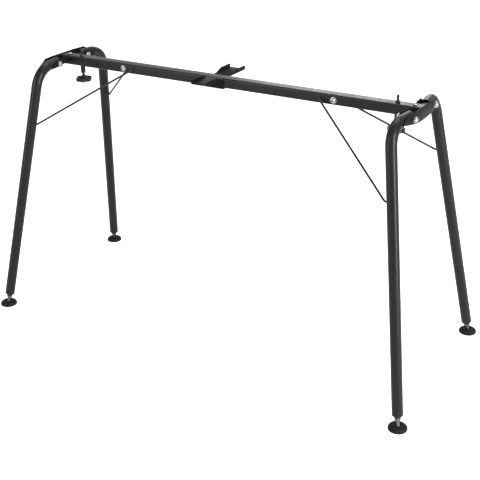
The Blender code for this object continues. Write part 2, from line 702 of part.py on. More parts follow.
def make_bracket():
    """The centre bracket: a saddle under the beam whose wings have a raised flange along each side."""
    thick = BRACKET_THICKNESS
    inner_y = BEAM_FACE_Y + GAP
    outer_y = inner_y + thick
    strap_top = BEAM_BOTTOM_Z - GAP
    web_bottom = BEAM_TOP_Z - thick
    half = [(inner_y, strap_top), (inner_y, BEAM_TOP_Z), (BRACKET_REACH, BEAM_TOP_Z),
            (BRACKET_REACH, web_bottom), (outer_y, web_bottom), (outer_y, strap_top - thick)]
    outline = half + [(-across, up) for across, up in reversed(half)]
    bracket = sheet("centre_bracket", [outline], BRACKET_WIDTH, (BRACKET_X, 0.0, 0.0), FACING_X)
    top = BEAM_TOP_Z - thick + BRACKET_FLANGE_HEIGHT
    for end_name, end in ENDS.items():
        wedge = [(end * outer_y, web_bottom), (end * (BRACKET_REACH + CUT_MARGIN / 10), web_bottom),
                 (end * (BRACKET_REACH + CUT_MARGIN / 10), top),
                 (end * (outer_y + BRACKET_FLANGE_RISE), top)]
        for side_name, side in SIDES.items():
            middle = BRACKET_X + side * (BRACKET_WIDTH / 2 - thick / 2)
            flange = sheet(f"bracket_flange_{side_name}_{end_name}", [wedge], thick + CUT_MARGIN / 10,
                           (middle, 0.0, 0.0), FACING_X, CUTTERS)
            join(bracket, flange)
    seat = Vector((BRACKET_X, 0.0, strap_top - thick))
    cut(bracket, hole("bracket_screw_hole", BRACKET_SCREW_HOLE, seat, seat + Z_AXIS * thick))
    paint(bracket, PLATE_PAINT)
    head_base = seat - Z_AXIS * (GAP + BRACKET_SCREW_HEAD)
    screw = hexagon("bracket_screw", BRACKET_SCREW_FLATS, BRACKET_SCREW_HEAD, head_base, Z_AXIS)
    join(screw, prism("bracket_screw_shank", SMALL_SIDES, BRACKET_SCREW_DIAMETER,
                      BRACKET_SCREW_LENGTH + BRACKET_SCREW_HEAD / 2,
                      head_base + Z_AXIS * BRACKET_SCREW_HEAD / 2, Z_AXIS, CUTTERS))
    paint(screw, BRIGHT_ZINC)
    nut_base = Vector((BRACKET_X, 0.0, BEAM_BOTTOM_Z + BEAM_WALL + GAP))
    nut = hex_nut("bracket_nut", BRACKET_SCREW_FLATS, BRACKET_SCREW_HOLE, BRACKET_NUT_HEIGHT,
                  nut_base, Z_AXIS)
    paint(nut, BRIGHT_ZINC)


def star_outline():
    """The lobed outline of a clamp knob."""
    points = []
    count = KNOB_LOBES * KNOB_POINTS_PER_LOBE
    middle = KNOB_DIAMETER / 2 - KNOB_LOBE_DEPTH
    for index in range(count):
        angle = 2 * math.pi * index / count
        radius = middle + KNOB_LOBE_DEPTH * math.cos(KNOB_LOBES * angle)
        points.append((radius * math.cos(angle), radius * math.sin(angle)))
    return points


def make_knob(side_name, side):
    """A star knob, its screw, the collar that rides on the screw and the nut on the beam."""
    knob_top = BEAM_BOTTOM_Z - KNOB_DROP
    centre = Vector((side * KNOB_X, 0.0, knob_top - KNOB_THICKNESS / 2))
    knob = sheet(f"knob_{side_name}", [star_outline()], KNOB_THICKNESS, centre, (0.0, 0.0, 0.0))
    bevel = knob.modifiers.new("edge", "BEVEL")
    bevel.width = KNOB_EDGE
    bevel.segments = 2
    bevel.limit_method = "ANGLE"
    bevel.angle_limit = math.radians(60)
    socket = Vector((side * KNOB_X, 0.0, knob_top - SCREW_IN_KNOB))
    cut(knob, prism(knob.name + "_socket", SMALL_SIDES, SCREW_HOLE, SCREW_IN_KNOB + CUT_MARGIN, socket,
                    Z_AXIS, CUTTERS))
    paint(knob, DARK_PLASTIC)
    base = socket + Z_AXIS * GAP
    length = BEAM_TOP_Z + SCREW_RISE - base.z
    profile = [(0.0, length), (SCREW_TIP_DIAMETER / 2, length),
               (SCREW_DIAMETER / 2, length - SCREW_TIP_LENGTH), (SCREW_DIAMETER / 2, 0.0), (0.0, 0.0)]
    paint(turned(f"knob_screw_{side_name}", profile, SMALL_SIDES, base, Z_AXIS), BLACK_STEEL)
    collar_base = Vector((side * KNOB_X, 0.0, BEAM_BOTTOM_Z + COLLAR_IN_BEAM - COLLAR_LENGTH))
    paint(ring(f"knob_collar_{side_name}", COLLAR_DIAMETER, SCREW_HOLE, COLLAR_LENGTH, collar_base,
               Z_AXIS), DARK_PLASTIC)
    nut_base = Vector((side * KNOB_X, 0.0, BEAM_TOP_Z + GAP))
    paint(hex_nut(f"knob_nut_{side_name}", KNOB_NUT_FLATS, SCREW_HOLE, KNOB_NUT_HEIGHT, nut_base,
                  Z_AXIS), BLACK_STEEL)


def make_foot(side_name, side, end_name, end):
    """A levelling foot: the insert in the tube's end, the stud with its ball, and the disc."""
    place = f"{side_name}_{end_name}"
    up = leg_direction(side, end)
    bottom = leg_point(side, end, INSERT_BOTTOM_Z)
    cone = along_leg(TUBE_END_Z - INSERT_BOTTOM_Z) - GAP
    plug = TUBE_RADIUS - TUBE_WALL - PLUG_CLEARANCE
    bore = STUD_DIAMETER / 2 + RUNNING_GAP
    profile = [(plug, cone + INSERT_PLUG_LENGTH), (plug, cone), (TUBE_RADIUS, cone),
               (TUBE_RADIUS, cone * 0.85), (INSERT_BOTTOM_DIAMETER / 2, 0.0), (bore, 0.0),
               (bore, cone + INSERT_PLUG_LENGTH)]
    paint(turned(f"leg_insert_{place}", profile, ROUND_SIDES, bottom, up), GREY_PLASTIC)

    ball = leg_point(side, end, BALL_Z)
    radius = BALL_DIAMETER / 2
    neck = STUD_DIAMETER / 2
    neck_angle = math.acos(neck / radius)
    profile = [(0.0, STUD_LENGTH), (neck * 0.8, STUD_LENGTH), (neck, STUD_LENGTH - neck * 0.3)]
    profile += arc((0.0, 0.0), radius, neck_angle, -math.pi / 2, ARC_STEPS - 2)
    profile[-1] = (0.0, -radius)
    stud = turned(f"foot_stud_{place}", profile, ROUND_SIDES, ball, up)
    hex_top = ball + up * (along_leg(INSERT_BOTTOM_Z - BALL_Z) - GAP)
    join(stud, hexagon(stud.name + "_hex", STUD_FLATS, STUD_HEX_LENGTH, hex_top - up * STUD_HEX_LENGTH,
                       up, CUTTERS))
    paint(stud, DULL_ZINC)

    socket = radius + RUNNING_GAP
    shoulder = DISC_SHOULDER_DIAMETER / 2
    rim = DISC_DIAMETER / 2
    profile = [(shoulder, DISC_HEIGHT)]
    for step in range(1, CORNER_STEPS + 1):
        turn = math.pi / 2 * step / CORNER_STEPS
        profile.append((shoulder + (rim - shoulder) * math.sin(turn),
                        DISC_RIM_HEIGHT + (DISC_HEIGHT - DISC_RIM_HEIGHT) * math.cos(turn)))
    profile += [(rim, GAP), (rim - GAP, 0.0), (0.0, 0.0)]
    profile.insert(0, (0.0, DISC_HEIGHT))
    centre = Vector((ball.x, ball.y, 0.0))
    disc = turned(f"foot_disc_{place}", profile, 2 * ROUND_SIDES, centre, Z_AXIS)
    depth = DISC_HEIGHT - DISC_FLOOR
    mouth = socket + SOCKET_FLARE
    past = mouth + SOCKET_FLARE * CUT_MARGIN / depth
    cup = [(0.0, depth + CUT_MARGIN), (past, depth + CUT_MARGIN), (socket, 0.0), (0.0, 0.0)]
    cut(disc, turned(disc.name + "_socket", cup, ROUND_SIDES, centre + Z_AXIS * DISC_FLOOR, Z_AXIS,
                     CUTTERS))
    paint(disc, DARK_PLASTIC)


def main():
    """Builds every piece of the stand."""
    make_beam()
    make_bracket()
    for side_name, side in SIDES.items():
        make_outer_plate(side_name, side)
        make_end_screw(side_name, side)
        make_front_stay(side_name, side)
        make_rear_stay(side_name, side)
        make_stay_bolt(side_name, side)
        make_knob(side_name, side)
        for end_name, end in ENDS.items():
            make_leg(side_name, side, end_name, end)
            make_inner_plate(side_name, side, end_name, end)
            make_frame_bolt(side_name, side, end_name, end)
            make_foot(side_name, side, end_name, end)


main()
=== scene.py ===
"""The keyboard stand's visual model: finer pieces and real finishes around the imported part.

Metres, +Z up. X runs along the beam to the right, Y to the rear, and the floor is at Z = 0.
"""

import logging
import math
from dataclasses import dataclass
from enum import Enum

import bmesh
import bpy
from mathutils import Matrix, Vector


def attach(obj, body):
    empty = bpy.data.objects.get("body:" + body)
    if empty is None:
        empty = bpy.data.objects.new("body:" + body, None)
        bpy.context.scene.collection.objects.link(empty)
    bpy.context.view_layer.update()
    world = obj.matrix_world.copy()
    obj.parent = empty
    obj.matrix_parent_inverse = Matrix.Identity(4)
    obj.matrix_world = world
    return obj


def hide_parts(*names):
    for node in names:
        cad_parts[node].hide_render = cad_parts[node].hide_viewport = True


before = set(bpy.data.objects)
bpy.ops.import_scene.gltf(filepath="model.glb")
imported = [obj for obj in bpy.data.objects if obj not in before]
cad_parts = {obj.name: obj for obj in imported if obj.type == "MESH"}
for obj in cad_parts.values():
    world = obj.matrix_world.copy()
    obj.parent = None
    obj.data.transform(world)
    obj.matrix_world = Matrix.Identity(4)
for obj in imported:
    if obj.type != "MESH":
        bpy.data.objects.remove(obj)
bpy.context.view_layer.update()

LOG = logging.getLogger("keyboard_stand")
MM = 0.001
X_AXIS = Vector((1.0, 0.0, 0.0))
Y_AXIS = Vector((0.0, 1.0, 0.0))
Z_AXIS = Vector((0.0, 0.0, 1.0))

# How far the parts of one piece run into each other before they are joined, and a cutter into its piece.
OVERLAP = MM
# A thread stops this far short of its head, and a turned profile keeps this far off its axis.
RUNOUT = MM
CORE = MM
# A corner straighter than this isn't rounded, and a rounding takes at most this share of a side.
LEAST_CORNER = math.radians(4)
MOST_OF_SIDE = 0.45
# Faces that meet at more than this angle keep a sharp edge between them.
SHARP_FROM = math.radians(38)

Point2 = tuple[float, float]


class Side(Enum):
    """The two ends of the beam."""

    LEFT = -1
    RIGHT = 1


class End(Enum):
    """The player's side of the stand, and the far side."""

    FRONT = -1
    REAR = 1


class Joining(Enum):
    """What combining does to a solid, by the name of Blender's operation."""

    CUT = "DIFFERENCE"
    JOIN = "UNION"
    KEEP_COMMON = "INTERSECT"


class Slot(Enum):
    """The record's material slots."""

    FRAME = "frame_paint"
    PLATE = "plate_paint"
    ROD = "rod_paint"
    ZINC = "bright_zinc"
    DULL = "dull_zinc"
    BLACK = "black_steel"
    KNOB = "dark_plastic"
    INSERT = "insert_plastic"
    FOOT = "foot_plastic"


def label(*parts: Side | End | str) -> str:
    """Joins words and enum names to a piece's name, such as leg_left_front."""
    return "_".join(part if isinstance(part, str) else part.name.lower() for part in parts)


def spot(side: Side, out: float, along: float, up: float) -> Vector:
    """The point at a distance out from the beam's middle toward a side, and at a Y and a Z."""
    return Vector((side.value * out, along, up))


# Mesh building.


def make_mesh(name: str, shape: bmesh.types.BMesh) -> bpy.types.Mesh:
    """Turns a bmesh into a mesh with outward faces.

    Args:
        name: The mesh's name.
        shape: The bmesh, which is freed.

    Returns:
        The mesh.
    """
    bmesh.ops.recalc_face_normals(shape, faces=shape.faces)
    mesh = bpy.data.meshes.new(name)
    shape.to_mesh(mesh)
    shape.free()
    return mesh


def add_piece(name: str, mesh: bpy.types.Mesh) -> bpy.types.Object:
    """Adds an object at the origin.

    Args:
        name: The object's name.
        mesh: The mesh that it holds.

    Returns:
        The object.
    """
    piece = bpy.data.objects.new(name, mesh)
    bpy.context.scene.collection.objects.link(piece)
    return piece


def loft(name: str, rings: list[list[Vector]], closed: bool = False) -> bpy.types.Object:
    """Skins a row of rings that have equal counts of points.

    Args:
        name: The object's name.
        rings: The rings, in order along the skin.
        closed: True where the last ring joins the first, otherwise both ends are capped.

    Returns:
        The solid.
    """
    shape = bmesh.new()
    rows = [[shape.verts.new(point) for point in ring] for ring in rings]
    pairs = list(zip(rows, rows[1:]))
    if closed:
        pairs.append((rows[-1], rows[0]))
    else:
        shape.faces.new(rows[0])
        shape.faces.new(rows[-1])
    for first, second in pairs:
        count = len(first)
        for index in range(count):
            after = (index + 1) % count
            shape.faces.new((first[index], first[after], second[after], second[index]))
    return add_piece(name, make_mesh(name, shape))


def circle(radius: float, height: float, steps: int) -> list[Vector]:
    """A level ring of points about Z."""
    turns = [2 * math.pi * step / steps for step in range(steps)]
    return [Vector((radius * math.cos(turn), radius * math.sin(turn), height)) for turn in turns]


def hexagon(flats: float, height: float) -> list[Vector]:
    """The corners of a level hexagon given across its flats."""
    return circle(flats / 2 / math.cos(math.pi / 6), height, 6)


def hoop(centre: Vector, first: Vector, second: Vector, radius: float, steps: int) -> list[Vector]:
    """A ring of points that may lean.

    Args:
        centre: The ring's centre.
        first: The unit vector from the centre toward the first point.
        second: The unit vector a quarter turn on.
        radius: The ring's radius.
        steps: The count of points.

    Returns:
        The points in order.
    """
    turns = [2 * math.pi * step / steps for step in range(steps)]
    return [centre + (first * math.cos(turn) + second * math.sin(turn)) * radius for turn in turns]


def fillet(points: list[Point2], radius: float, steps: int = 4, closed: bool = False) -> list[Point2]:
    """Rounds the corners of a flat line.

    Args:
        points: The corners.
        radius: The rounding radius, made smaller where a side is too short for it.
        steps: Facets in each rounded corner.
        closed: True where the line is a loop. Otherwise its two ends stay as they are.

    Returns:
        The rounded line.
    """
    count = len(points)
    rounded: list[Point2] = []
    for index, point in enumerate(points):
        if not closed and index in (0, count - 1):
            rounded.append(point)
            continue
        corner = Vector(point)
        into = Vector(points[index - 1]) - corner
        out = Vector(points[(index + 1) % count]) - corner
        half_turn = (math.pi - into.angle(out)) / 2
        if half_turn < LEAST_CORNER:
            rounded.append(point)
            continue
        reach = min(radius * math.tan(half_turn), MOST_OF_SIDE * into.length, MOST_OF_SIDE * out.length)
        start = corner + into.normalized() * reach
        stop = corner + out.normalized() * reach
        for step in range(steps + 1):
            share = step / steps
            bend = start.lerp(corner, share).lerp(corner.lerp(stop, share), share)
            rounded.append((bend.x, bend.y))
    return rounded


def lathe(name: str, profile: list[Point2], steps: int = 48, closed: bool = False) -> bpy.types.Object:
    """Turns a profile of (radius, height) about Z.

    Args:
        name: The object's name.
        profile: The profile, which keeps off the axis. Its ends are capped unless it is closed.
        steps: Facets round the axis.
        closed: True for a ring, such as a washer.

    Returns:
        The turned solid.
    """
    return loft(name, [circle(radius, height, steps) for radius, height in profile], closed)


def sleeve(name: str, outer: float, inner: float, length: float, rounding: float,
           steps: int = 3) -> bpy.types.Object:
    """A round sleeve or washer from Z 0 up, with rounded edges.

    Args:
        name: The object's name.
        outer: The outer diameter.
        inner: The bore.
        length: The height.
        rounding: The edges' radius.
        steps: Facets in each rounded edge.

    Returns:
        The sleeve.
    """
    corners = [(outer / 2, 0.0), (outer / 2, length), (inner / 2, length), (inner / 2, 0.0)]
    return lathe(name, fillet(corners, rounding, steps, closed=True), closed=True)


def extrude(name: str, outline: list[Point2], thickness: float, edge: float = 0.0) -> bpy.types.Object:
    """A flat sheet, centred in its thickness, with its outline in X and Y.

    Args:
        name: The object's name.
        outline: The outline's points in order.
        thickness: The sheet's thickness.
        edge: The width of the rounding round both faces.

    Returns:
        The sheet.
    """
    rings = [[Vector((*point, level)) for point in outline] for level in (-thickness / 2, thickness / 2)]
    sheet = loft(name, rings)
    return soften(sheet, edge) if edge else sheet


def bar(name: str, path: list[Vector], radius: float, bore: float = 0.0, sides: int = 40,
        rim: float = 0.6 * MM) -> bpy.types.Object:
    """A round bar or tube along a path, its ends cut square with broken edges.

    Args:
        name: The object's name.
        path: The centre line.
        radius: The outer radius.
        bore: The inner radius, or 0 for a solid bar.
        sides: Facets round the bar.
        rim: The width of the broken edge at each end.

    Returns:
        The bar.
    """
    last = len(path) - 1
    tangents = [(path[min(index + 1, last)] - path[max(index - 1, 0)]).normalized()
                for index in range(len(path))]
    across = tangents[0].orthogonal().normalized()
    sections = []
    for index, tangent in enumerate(tangents):
        if index:
            across = tangents[index - 1].rotation_difference(tangent) @ across
        sections.append((across.copy(), tangent.cross(across)))
    cuts = [(0, 0.0, radius - rim), (0, rim, radius)]
    cuts += [(index, 0.0, radius) for index in range(1, last)]
    cuts += [(last, -rim, radius), (last, 0.0, radius - rim)]
    if bore:
        cuts += [(index, 0.0, bore) for index in range(last, -1, -1)]
    rings = [hoop(path[index] + tangents[index] * shift, *sections[index], size, sides)
             for index, shift, size in cuts]
    return loft(name, rings, closed=bool(bore))


@dataclass(frozen=True)
class ScrewThread:
    """A screw's shank, which stands along Z and has a real helical thread on one end."""

    diameter: float
    pitch: float
    # The depth is a share of the pitch. A flank of more than 1 leaves a flat crest between two grooves.
    depth_share: float = 0.55
    flank: float = 1.15
    steps: int = 24
    rows_a_turn: int = 8

    def size(self, height: float, turned: float, fade: float, tip: float) -> float:
        """The shank's radius at a point.

        Args:
            height: The point's height.
            turned: The share of a full turn at which it lies.
            fade: The share of the full depth that the thread has here.
            tip: The change in radius that the tip's chamfer allows.

        Returns:
            The radius.
        """
        phase = (height / self.pitch - turned) % 1.0
        depth = self.depth_share * self.pitch
        cut = depth * fade * max(0.0, 1.0 - abs(2.0 * phase - 1.0) * self.flank)
        return min(self.diameter / 2 - cut, self.diameter / 2 + tip)

    def build(self, name: str, low: float, high: float, plain_to: float) -> bpy.types.Object:
        """Builds the shank.

        Args:
            name: The object's name.
            low: The height of the threaded tip.
            high: The height where the shank ends.
            plain_to: The height at which the thread ends and the plain shank begins.

        Returns:
            The shank.
        """
        rows = self.rows_a_turn * round(abs(plain_to - low) / self.pitch)
        rings = []
        for row in range(rows + 1):
            height = low + (plain_to - low) * row / rows
            fade = min(1.0, abs(plain_to - height) / self.pitch)
            tip = min(0.0, abs(height - low) - self.depth_share * self.pitch)
            ring = []
            for step in range(self.steps):
                turn = 2 * math.pi * step / self.steps
                size = self.size(height, step / self.steps, fade, tip)
                ring.append(Vector((size * math.cos(turn), size * math.sin(turn), height)))
            rings.append(ring)
        rings.append(circle(self.diameter / 2, high, self.steps))
        return loft(name, rings)


def settle(solid: bpy.types.Object) -> None:
    """Replaces an object's mesh with what its modifiers make of it.

    Args:
        solid: The object.
    """
    graph = bpy.context.evaluated_depsgraph_get()
    old = solid.data
    solid.data = bpy.data.meshes.new_from_object(solid.evaluated_get(graph))
    solid.modifiers.clear()
    bpy.data.meshes.remove(old)


def combine(solid: bpy.types.Object, joining: Joining, *tools: bpy.types.Object) -> bpy.types.Object:
    """Cuts a solid with tools, joins them to it or keeps what they share. The tools are used up.

    Args:
        solid: The solid that is changed.
        joining: What is done to it.
        tools: The tools.

    Returns:
        The solid.
    """
    for tool in tools:
        modifier = solid.modifiers.new(tool.name, "BOOLEAN")
        modifier.operation = joining.value
        modifier.solver = "EXACT"
        modifier.object = tool
    settle(solid)
    for tool in tools:
        bpy.data.objects.remove(tool)
    return solid


def soften(solid: bpy.types.Object, width: float, segments: int = 2,
           angle: float = 40.0) -> bpy.types.Object:
    """Rounds a solid's sharp edges.

    Args:
        solid: The solid.
        width: The rounding's width.
        segments: Facets across it.
        angle: The least angle, in degrees, that counts as an edge.

    Returns:
        The solid.
    """
    modifier = solid.modifiers.new("edge", "BEVEL")
    modifier.width = width
    modifier.segments = segments
    modifier.limit_method = "ANGLE"
    modifier.angle_limit = math.radians(angle)
    settle(solid)
    return solid


def aim(solid: bpy.types.Object, base: Vector, direction: Vector) -> bpy.types.Object:
    """Puts an object at a place and turns it.

    Args:
        solid: The object.
        base: Where its origin goes.
        direction: Where its own Z points.

    Returns:
        The object.
    """
    turn = direction.to_track_quat("Z", "Y").to_matrix().to_4x4()
    solid.matrix_world = Matrix.Translation(base) @ turn
    return solid


def place_sheet(sheet: bpy.types.Object, centre: Vector, across: Vector, up: Vector) -> bpy.types.Object:
    """Stands a flat sheet at a place.

    Args:
        sheet: The sheet.
        centre: Where its origin goes.
        across: Where its own X points.
        up: Where its own Y points.

    Returns:
        The sheet.
    """
    turn = Matrix((across, up, across.cross(up))).transposed().to_4x4()
    sheet.matrix_world = Matrix.Translation(centre) @ turn
    return sheet


def drill(diameter: float, start: Vector, end: Vector, margin: float = 4 * MM) -> bpy.types.Object:
    """A round cutter between two points.

    Args:
        diameter: The hole's diameter.
        start: One end of the hole.
        end: The other end, apart from the first.
        margin: How far the cutter runs on past both.

    Returns:
        The cutter.
    """
    along = (end - start).normalized()
    length = (end - start).length + 2 * margin
    cutter = lathe("drill", [(diameter / 2, 0.0), (diameter / 2, length)], steps=32)
    return aim(cutter, start - along * margin, along)


def rounded_path(corners: list[Vector], radius: float, steps: int) -> list[Vector]:
    """Joins corners by straight runs and rounds each inner corner to an arc.

    Args:
        corners: The ends and the corners of the line.
        radius: The bend radius at the centre line.
        steps: Facets in each bend.

    Returns:
        The points of the path.
    """
    path = [corners[0]]
    for before, corner, after in zip(corners, corners[1:], corners[2:]):
        into = (corner - before).normalized()
        out = (after - corner).normalized()
        half_turn = into.angle(out) / 2
        start = corner - into * radius * math.tan(half_turn)
        centre = corner + (out - into).normalized() * radius / math.cos(half_turn)
        axis = into.cross(out)
        for step in range(steps + 1):
            turn = Matrix.Rotation(2 * half_turn * step / steps, 3, axis)
            path.append(centre + turn @ (start - centre))
    path.append(corners[-1])
    return path


# Finishes.


def linear(code: str) -> tuple[float, float, float, float]:
    """Turns an sRGB hex colour into linear red, green, blue and alpha.

    Args:
        code: The colour as #rrggbb.

    Returns:
        The linear colour.
    """
    channels = []
    for start in (1, 3, 5):
        value = int(code[start:start + 2], 16) / 255
        channels.append(value / 12.92 if value <= 0.04045 else ((value + 0.055) / 1.055) ** 2.4)
    return (*channels, 1.0)


def add_node(tree: bpy.types.NodeTree, kind: str, values: dict | None = None, links: dict | None = None,
             **settings: object) -> bpy.types.Node:
    """Adds a node with its settings, input values and links.

    Args:
        tree: The node tree.
        kind: The node's type.
        values: Input values by socket name or number.
        links: Output sockets by the name or number of the input that each feeds.
        settings: The node's own properties.

    Returns:
        The node.
    """
    node = tree.nodes.new(kind)
    for name, value in settings.items():
        setattr(node, name, value)
    for name, value in (values or {}).items():
        node.inputs[name].default_value = value
    for name, socket in (links or {}).items():
        tree.links.new(socket, node.inputs[name])
    return node


def per_metre(size_mm: float) -> float:
    """The texture scale that gives features of a size in millimetres."""
    return 1.0 / (size_mm * MM)


@dataclass(frozen=True)
class Patterns:
    """The patterns that vary a finish over the surface."""

    shade: bpy.types.NodeSocket
    gloss: bpy.types.NodeSocket
    relief: bpy.types.NodeSocket


@dataclass(frozen=True)
class Finish:
    """A surface with two shades that mix, a gloss that varies and a fine relief.

    The gloss pattern, over its span, moves the roughness from its first step to its second. Fields that
    end in mm are real sizes in millimetres.
    """

    slot: Slot
    name: str
    colour: str
    second_colour: str
    roughness: float
    specular: float = 0.5
    gloss_span: Point2 = (0.0, 1.0)
    gloss_steps: Point2 = (-0.1, 0.1)
    relief: float = 0.3
    relief_mm: float = 0.01
    metallic: float = 0.0
    ior: float | None = None

    def patterns(self, tree: bpy.types.NodeTree, place: bpy.types.NodeSocket) -> Patterns:
        """Adds the finish's patterns.

        Args:
            tree: The material's node tree.
            place: The surface's own coordinates.

        Returns:
            The patterns.
        """
        raise NotImplementedError

    def build(self) -> bpy.types.Material:
        """Builds the material.

        Returns:
            The material, named for the real one.
        """
        material = bpy.data.materials.new(self.name)
        material.use_nodes = True
        tree = material.node_tree
        patterns = self.patterns(tree, add_node(tree, "ShaderNodeTexCoord").outputs["Object"])
        tint = add_node(tree, "ShaderNodeMix", {6: linear(self.colour), 7: linear(self.second_colour)},
                        {0: patterns.shade}, data_type="RGBA")
        gloss = add_node(tree, "ShaderNodeMapRange",
                         {"From Min": self.gloss_span[0], "From Max": self.gloss_span[1],
                          "To Min": self.roughness + self.gloss_steps[0],
                          "To Max": self.roughness + self.gloss_steps[1]}, {"Value": patterns.gloss})
        bump = add_node(tree, "ShaderNodeBump", {"Strength": self.relief, "Distance": self.relief_mm * MM},
                        {"Height": patterns.relief})
        shader = tree.nodes["Principled BSDF"]
        tree.links.new(tint.outputs[2], shader.inputs["Base Color"])
        tree.links.new(gloss.outputs["Result"], shader.inputs["Roughness"])
        tree.links.new(bump.outputs["Normal"], shader.inputs["Normal"])
        shader.inputs["Specular IOR Level"].default_value = self.specular
        shader.inputs["Metallic"].default_value = self.metallic
        if self.ior is not None:
            shader.inputs["IOR"].default_value = self.ior
        return material


@dataclass(frozen=True)
class PowderCoat(Finish):
    """Polyester powder coat, sprayed on steel and baked.

    It flows out as it bakes, so the eye sees a soft sheen broken by faint orange peel, and a slightly
    uneven gloss where the film is thicker.
    """

    gloss_span: Point2 = (0.3, 0.7)
    gloss_steps: Point2 = (-0.05, 0.05)
    relief: float = 0.35
    relief_mm: float = 0.03
    ior: float | None = 1.5
    # Real orange peel is about 1 mm across. It is drawn coarser, so that it shows at this picture's size.
    peel_mm: float = 2.4
    film_patch_mm: float = 28.0

    def patterns(self, tree: bpy.types.NodeTree, place: bpy.types.NodeSocket) -> Patterns:
        """Adds the film's patches and the orange peel.

        Args:
            tree: The material's node tree.
            place: The surface's own coordinates.

        Returns:
            The patterns.
        """
        patches = add_node(tree, "ShaderNodeTexNoise",
                           {"Scale": per_metre(self.film_patch_mm), "Detail": 3.0},
                           {"Vector": place}).outputs["Fac"]
        peel = add_node(tree, "ShaderNodeTexNoise", {"Scale": per_metre(self.peel_mm), "Detail": 2.0},
                        {"Vector": place}).outputs["Fac"]
        return Patterns(shade=patches, gloss=patches, relief=peel)


@dataclass(frozen=True)
class ZincPlate(Finish):
    """Zinc electroplate on cold headed steel, passivated clear.

    The eye sees a bluish silver with a faint straw cast in places, and fine marks from the header and
    the wrench.
    """

    gloss_steps: Point2 = (-0.1, 0.14)
    relief: float = 0.25
    relief_mm: float = 0.015
    metallic: float = 1.0
    mark_mm: float = 0.9
    mark_stretch: float = 6.0
    cast_mm: float = 7.0

    def patterns(self, tree: bpy.types.NodeTree, place: bpy.types.NodeSocket) -> Patterns:
        """Adds the straw cast and the drawn-out marks.

        Args:
            tree: The material's node tree.
            place: The surface's own coordinates.

        Returns:
            The patterns.
        """
        stretched = add_node(tree, "ShaderNodeMapping", {"Scale": (1.0, 1.0, self.mark_stretch)},
                             {"Vector": place}).outputs["Vector"]
        marks = add_node(tree, "ShaderNodeTexNoise", {"Scale": per_metre(self.mark_mm), "Detail": 3.0},
                         {"Vector": stretched}).outputs["Fac"]
        cast = add_node(tree, "ShaderNodeTexNoise", {"Scale": per_metre(self.cast_mm), "Detail": 1.0},
                        {"Vector": place}).outputs["Fac"]
        return Patterns(shade=cast, gloss=marks, relief=marks)


@dataclass(frozen=True)
class BlackOxide(Finish):
    """Blackened and oiled steel, as cut threads and cheap black screws have it.

    The oil leaves a slight gloss, and the black wears thin in patches, where the eye sees a browner tone.
    """

    gloss_steps: Point2 = (-0.1, 0.12)
    ior: float | None = 1.6
    wear_mm: float = 2.5

    def patterns(self, tree: bpy.types.NodeTree, place: bpy.types.NodeSocket) -> Patterns:
        """Adds the wear.

        Args:
            tree: The material's node tree.
            place: The surface's own coordinates.

        Returns:
            The patterns.
        """
        wear = add_node(tree, "ShaderNodeTexNoise", {"Scale": per_metre(self.wear_mm), "Detail": 4.0},
                        {"Vector": place}).outputs["Fac"]
        return Patterns(shade=wear, gloss=wear, relief=wear)


@dataclass(frozen=True)
class MouldedPlastic(Finish):
    """Nylon filled with a little glass, or polypropylene, injection moulded in a spark eroded tool.

    The tool leaves an even fine grain, so the eye sees a dull, soft black, slightly paler where
    fingers and floors have rubbed it.
    """

    gloss_steps: Point2 = (0.1, -0.1)
    relief: float = 0.4
    relief_mm: float = 0.05
    ior: float | None = 1.53
    # Spark erosion leaves grain of about 0.2 mm. It is drawn coarser, so that it shows.
    grain_mm: float = 0.7
    rub_mm: float = 12.0

    def patterns(self, tree: bpy.types.NodeTree, place: bpy.types.NodeSocket) -> Patterns:
        """Adds the rubbed patches and the grain.

        Args:
            tree: The material's node tree.
            place: The surface's own coordinates.

        Returns:
            The patterns.
        """
        grain = add_node(tree, "ShaderNodeTexVoronoi", {"Scale": per_metre(self.grain_mm)},
                         {"Vector": place}).outputs["Distance"]
        rub = add_node(tree, "ShaderNodeTexNoise", {"Scale": per_metre(self.rub_mm), "Detail": 4.0},
                       {"Vector": place}).outputs["Fac"]
        return Patterns(shade=rub, gloss=rub, relief=grain)


# The matting agents of a satin coat, and the grain of a moulding, scatter part of the sheen away, so
# their specular levels lie well below a polished surface's 0.5.
FINISHES = (
    PowderCoat(Slot.FRAME, "satin_black_powder_coat", "#111013", "#171519", 0.31, 0.12),
    PowderCoat(Slot.PLATE, "matt_black_powder_coat", "#0f0e11", "#141317", 0.46, 0.03, film_patch_mm=18.0),
    PowderCoat(Slot.ROD, "black_coated_rod", "#1a191c", "#222124", 0.40, 0.14, film_patch_mm=15.0),
    ZincPlate(Slot.ZINC, "bright_zinc_plate", "#85878a", "#918c84", 0.34),
    ZincPlate(Slot.DULL, "dull_zinc_plate", "#4c4d4f", "#54524d", 0.44),
    BlackOxide(Slot.BLACK, "black_oxide_steel", "#141416", "#1c1b1b", 0.38, 0.25),
    MouldedPlastic(Slot.KNOB, "black_glass_filled_nylon", "#121213", "#1a1a1b", 0.50, 0.14),
    MouldedPlastic(Slot.INSERT, "charcoal_polypropylene", "#1b1a1c", "#242326", 0.50, 0.16),
    MouldedPlastic(Slot.FOOT, "black_nylon", "#111112", "#181819", 0.56, 0.05),
)
MATERIALS = {finish.slot: finish.build() for finish in FINISHES}


